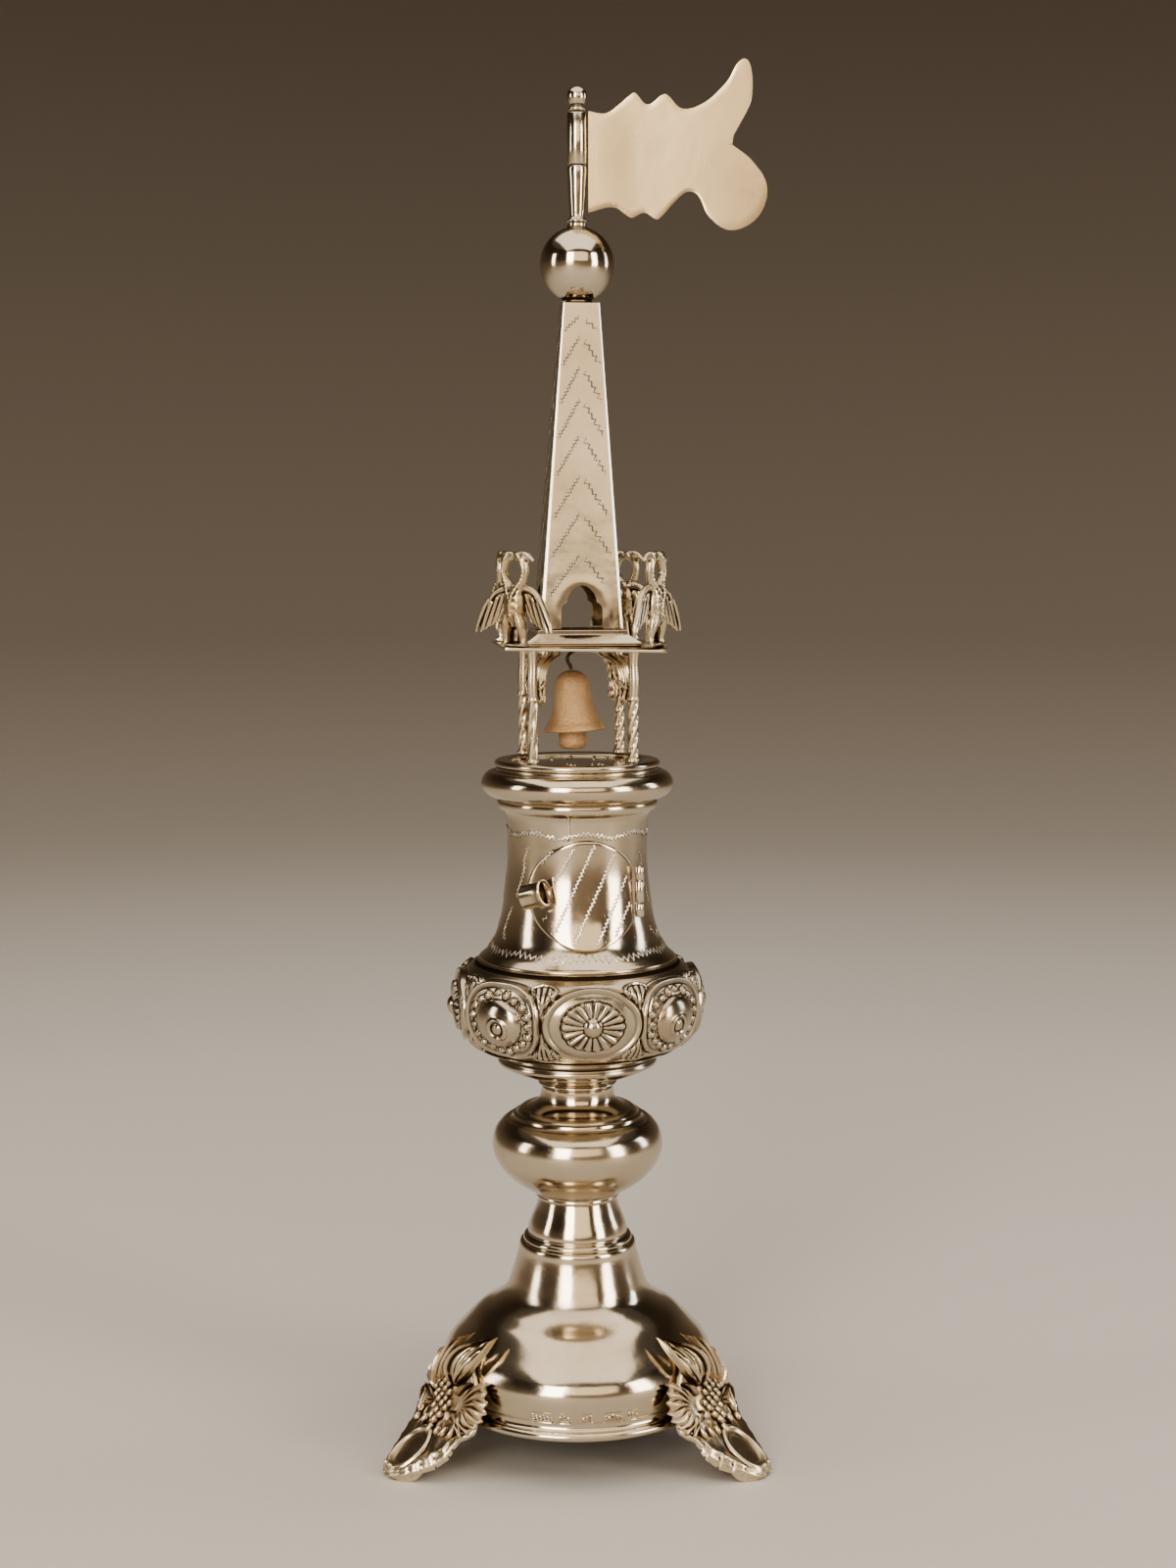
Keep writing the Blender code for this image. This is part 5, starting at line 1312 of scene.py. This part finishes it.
spire_skins = []
for face in range(4):
    outer_low, outer_high = face_grids(face, False)
    inner_low, inner_high = face_grids(face, True)
    next_low, next_high = face_grids((face + 1) % 4, False)
    # The rims of the arch, the feet and the top, then the cut edge to the next face and its corners
    pairs = [
        (outer_low[-1], inner_low[-1]), (outer_low[:, 0], inner_low[:, 0]),
        (outer_low[:, -1], inner_low[:, -1]), (outer_high[-1], inner_high[-1]),
        (outer_low[0, :47:-1], next_low[0, :29]), (outer_high[:, -1], next_high[:, 0]),
        (np.stack([outer_low[0, -1], next_low[0, 0]]), np.repeat(inner_low[0, -1:], 2, 0)),
        (np.stack([outer_high[-1, -1], next_high[-1, 0]]), np.repeat(inner_high[-1, -1:], 2, 0)),
    ]
    grids = [outer_low, outer_high, inner_low, inner_high, *map(np.stack, pairs)]
    spire_skins += [skin(grid, close_columns=False) for grid in grids]
piece("spire_sheet", spire_skins, SPUN_SILVER, ["spire"], crease=28, reach=0.5)


def on_face(face):
    """A mapping of (across, height) onto a face, for the engraver."""
    def place(points):
        across, height = points.T
        depth = hammered(across, height) * np.clip((SPIRE_TOP - height) / 4, 0, 1)
        spots = spire_face(face, across, height, depth)
        return spots, np.broadcast_to(spot(1.0, 90.0 * face, 0.07), spots.shape)
    return place


chevron_cuts = []
for face in range(4):
    for top, drop in CHEVRONS:
        half = spire_half(top - 4) * SPIRE_FLAT * 0.97
        left_leg = [(-0.3 - half * 0.96, top - half * drop * 1.06), (-0.3, top)]
        right_leg = [(0.15, top - 0.5), (0.15 + half * 0.92, top - half * drop)]
        if top < 190:
            right_leg[1] = (4.6, top - 6.2)
        chevron_cuts.append(wriggle(left_leg, on_face(face), pitch=0.75, swing=0.27, width=0.3))
        chevron_cuts.append(wriggle(right_leg, on_face(face), pitch=1.15, swing=0.38, width=0.3))
# The chevrons take the darker painted shade and the painted highlight for the spire
piece("spire_wriggle_work", chevron_cuts, CUT_SILVER, crease=180, painted_light_and_shade=PAINTED_SPIRE_CUT_LIGHT_AND_SHADE)


# Ball, pole and finial
# A hollow ball of two raised halves on the spire's top, then a drawn tube with a spindle for the flag and a
# turned button that keeps the flag on.

BALL_RADIUS, BALL_MIDDLE = 7.4, 240.3
POLE_LINE = [
    (0.0, 248.5, 1), (2.0, 248.5, 1), (2.15, 248.75), (1.75, 249.1), (1.45, 249.6), (1.5, 250.6),
    (1.7, 253.6), (1.85, 256.6), (1.93, 259.1), (1.85, 259.3, 1), (0.9, 259.3, 1), (0.9, 269.6, 1),
    (0.0, 269.6, 1),
]
FINIAL_LINE = [
    (0.0, 269.9, 1), (1.6, 269.9, 1), (1.75, 270.05), (1.75, 270.35), (1.55, 270.6, 1), (1.2, 270.75),
    (1.15, 271.0), (1.5, 271.2, 1), (1.85, 271.8), (2.0, 272.7), (1.8, 273.6), (1.2, 274.3), (0.5, 274.65),
    (0.0, 274.7),
]
ball_turn = np.radians(np.linspace(-68, 74, 60))
ball_line = np.stack([BALL_RADIUS * np.cos(ball_turn), BALL_MIDDLE + BALL_RADIUS * np.sin(ball_turn)], -1)
ball_line[:, 0] += 0.04 * ridge(ball_line[:, 1], BALL_MIDDLE, 0.15)
ball_line = np.vstack([
    [(0.0, 232.9), (3.3, 232.9), (3.4, 233.1)], ball_line, [(1.9, 248.0), (1.9, 248.2), (0.0, 248.2)],
])
piece("raised_ball", [turned(ball_line)], SPUN_SILVER, ["ball"])
piece("flag_pole", [turned(smooth_line(POLE_LINE, 5), 48)], SPUN_SILVER, ["pole"])
piece("button_finial", [turned(smooth_line(FINIAL_LINE, 5), 48)], SPUN_SILVER, ["finial"])


# Flag
# A pennant sawn from sheet silver with waved edges and a forked end, soldered to a tube that turns on the
# spindle. The sheet is matt from wear and not quite flat.

FLAG_EDGE = 2.25
FLAG_ABOVE = [
    (FLAG_EDGE, 269.9, 1), (5.7, 269.5), (8.4, 271.3), (10.7, 273.2), (11.3, 273.5), (11.8, 273.1),
    (13.8, 271.2), (16.7, 273.0), (17.4, 273.2), (18.0, 272.8), (20.6, 270.4), (24.6, 271.3), (29.4, 275.5),
    (32.6, 279.9), (33.4, 279.7), (34.2, 277.9), (34.1, 271.6), (30.9, 265.3), (30.6, 263.4, 1),
]
FLAG_BELOW = [
    (FLAG_EDGE, 250.4, 1), (7.4, 251.4), (10.3, 249.6), (10.9, 249.4), (11.4, 249.6), (13.3, 250.4),
    (15.3, 249.3), (15.9, 249.1), (16.4, 249.4), (18.8, 252.0), (21.2, 254.2), (21.6, 254.4), (23.3, 254.2),
    (26.0, 249.7), (30.2, 247.0), (35.6, 249.4), (37.5, 255.2), (34.4, 260.5), (30.6, 263.4, 1),
]
FLAG_TURN, FLAG_THICKNESS, FLAG_STEPS = -7.0, 0.6, 170
FLAG_TUBE_LINE = np.array([
    (1.25, 259.6), (1.85, 259.6), (1.95, 259.75), (1.95, 269.35), (1.85, 269.5), (1.25, 269.5),
    (1.25, 264.0),
])

# The sheet spreads from a middle line to its two edges, whose points lie an equal way apart
edges = [smooth_line(line, 8) for line in (FLAG_ABOVE, FLAG_BELOW)]
above, below = (points_at(edge, np.linspace(0, way_along(edge)[-1], FLAG_STEPS)) for edge in edges)
middle = np.minimum((above[:, 0] + below[:, 0]) / 2, 29.6)
middle = np.stack([middle, np.linspace(260.0, 263.4, FLAG_STEPS)], -1)
spread = np.linspace(-1, 1, 31)[:, None]
flag_plan = middle + np.maximum(spread, 0)[..., None] * (above - middle)
flag_plan += np.maximum(-spread, 0)[..., None] * (below - middle)
x, z = np.moveaxis(flag_plan, -1, 0)
half_thick = FLAG_THICKNESS / 2 * np.clip((1 - np.abs(spread)) * 12 + 0.5, 0, 1) ** 0.5
bow = (0.16 * np.sin(x / 6.5) + 0.1 * np.sin(z / 4.1 + x / 9)) * soft_step(x, 4.0, 12.0)
front, back = (np.stack([x, bow + side * half_thick, z], -1) for side in (-1, 1))
flag_points, flag_quads = skin(capped(np.concatenate([front, back[::-1]]).swapaxes(0, 1)))
MATT_SILVER = metal_finish(
    "matt_flag_silver", "silver", 0.03, clean=(0.75, 0.61, 0.42), toned=(0.67, 0.52, 0.33),
    patina_shade_colour=(0.2, 0.15, 0.1), polish=0.24, toning=0.6, patina_and_shade=0.8, grain=0.15,
)
piece("pennant", [(swung(flag_points, FLAG_TURN), flag_quads)], MATT_SILVER, ["flag_sheet"], "flag")
tube = skin(spot(FLAG_TUBE_LINE[:, :1], np.arange(48) * 7.5, FLAG_TUBE_LINE[:, 1:]), close_rows=True)
piece("flag_sleeve", [tube], SPUN_SILVER, ["flag_tube"], "flag")


# Studio
# A plain pale floor, wide soft lights all round, and the camera where the photograph was taken from.

FLOOR_COLOUR = (0.72, 0.69, 0.65, 1.0)
# Colour the floor darkens to far out, a painted fall-off of the light
PAINTED_FALLOFF_COLOUR = (0.36, 0.31, 0.26, 1.0)
AIR_COLOUR = (0.11, 0.095, 0.08, 1.0)
CAMERA_PLACE = (-0.05031, -0.45119, 0.1854)
CAMERA_TURN = (83.81, 0.0, -7.0)
CAMERA_LENS = 50.85
# Place, aim, size across and up in metres, watts and colour of each soft light
LIGHTS = {
    "wall_behind_camera": ((0.1, -1.9, 0.7), (0.0, 0.0, 0.15), 1.7, 1.4, 8.0, (1.0, 0.85, 0.66)),
    "left_window": ((-0.64, -1.25, 0.55), (0.0, 0.0, 0.14), 0.5, 1.0, 8.0, (1.0, 0.95, 0.87)),
    "right_window": ((0.98, -0.85, 0.45), (0.0, 0.0, 0.14), 0.4, 0.9, 5.0, (1.0, 0.95, 0.87)),
    "left_strip": ((-1.5, -0.15, 0.5), (0.0, 0.0, 0.15), 0.3, 0.8, 2.6, (1.0, 0.96, 0.9)),
    "right_strip": ((1.5, 0.16, 0.5), (0.0, 0.0, 0.15), 0.3, 0.8, 2.2, (0.9, 0.95, 1.0)),
    "ceiling": ((0.0, -0.15, 1.4), (0.0, 0.0, 0.1), 2.0, 2.0, 13.0, (1.0, 0.93, 0.84)),
}


def studio_floor():
    """A flat disc under the tower that rises into a backdrop all round: height 0.35 (r - 0.9)^2 past 0.9
    metres. Its pale colour darkens outwards between 0.35 and 1.5 metres, as painted fall-off of the light
    away from the lit middle."""
    radius = np.concatenate([[0.0], np.linspace(0.1, 0.9, 9), np.linspace(1.0, 4.0, 46)])
    rise = 0.35 * np.maximum(radius - 0.9, 0) ** 2
    mesh = mesh_of("studio_floor", *turned(np.stack([radius, rise], -1)))
    close_up(mesh, 1e-6)
    material = bpy.data.materials.new("pale_floor")
    material.use_nodes = True
    tree = material.node_tree
    shader = tree.nodes["Principled BSDF"]
    shader.inputs["Roughness"].default_value = 0.7
    place = tree.nodes.new("ShaderNodeTexCoord")
    grain = node(tree, "ShaderNodeTexNoise", Scale=700.0, Detail=4.0)
    away = node(tree, "ShaderNodeVectorMath", operation="LENGTH")
    wire_up(tree, [(place, "Object", grain, "Vector"), (place, "Object", away, "Vector")])
    darker = (*(0.95 * value for value in FLOOR_COLOUR[:3]), 1.0)
    tint = blended(tree, grain.outputs["Fac"], FLOOR_COLOUR, darker)
    # Painted fall-off: the floor darkens away from the middle
    far = climbing(tree, away.outputs["Value"], 0.35, 0.9)
    feed(tree, shader.inputs["Base Color"], blended(tree, far, tint, PAINTED_FALLOFF_COLOUR))
    mesh.materials.append(material)
    in_scene("studio_floor", mesh)


def aim(place, target):
    """The turn that points an object's -Z axis from a place to a target."""
    way = np.subtract(target, place)
    return (np.arctan2(np.hypot(way[0], way[1]), -way[2]), 0.0, np.arctan2(-way[0], way[1]))


studio_floor()
for name, (place, target, across, up, watts, colour) in LIGHTS.items():
    light = bpy.data.lights.new(name, "AREA")
    light.shape, light.size, light.size_y = "RECTANGLE", across, up
    light.energy, light.color = watts, colour
    lamp = in_scene(name, light)
    lamp.location, lamp.rotation_euler = place, aim(place, target)
    lamp.visible_camera = False

world = bpy.data.worlds.new("studio_air")
world.use_nodes = True
world.node_tree.nodes["Background"].inputs["Color"].default_value = AIR_COLOUR
bpy.context.scene.world = world
bpy.context.scene.view_settings.look = "AgX - High Contrast"

camera = bpy.data.cameras.new("camera")
camera.lens = CAMERA_LENS
viewer = in_scene("camera", camera)
viewer.location, viewer.rotation_euler = CAMERA_PLACE, np.radians(CAMERA_TURN)
bpy.context.scene.camera = viewer
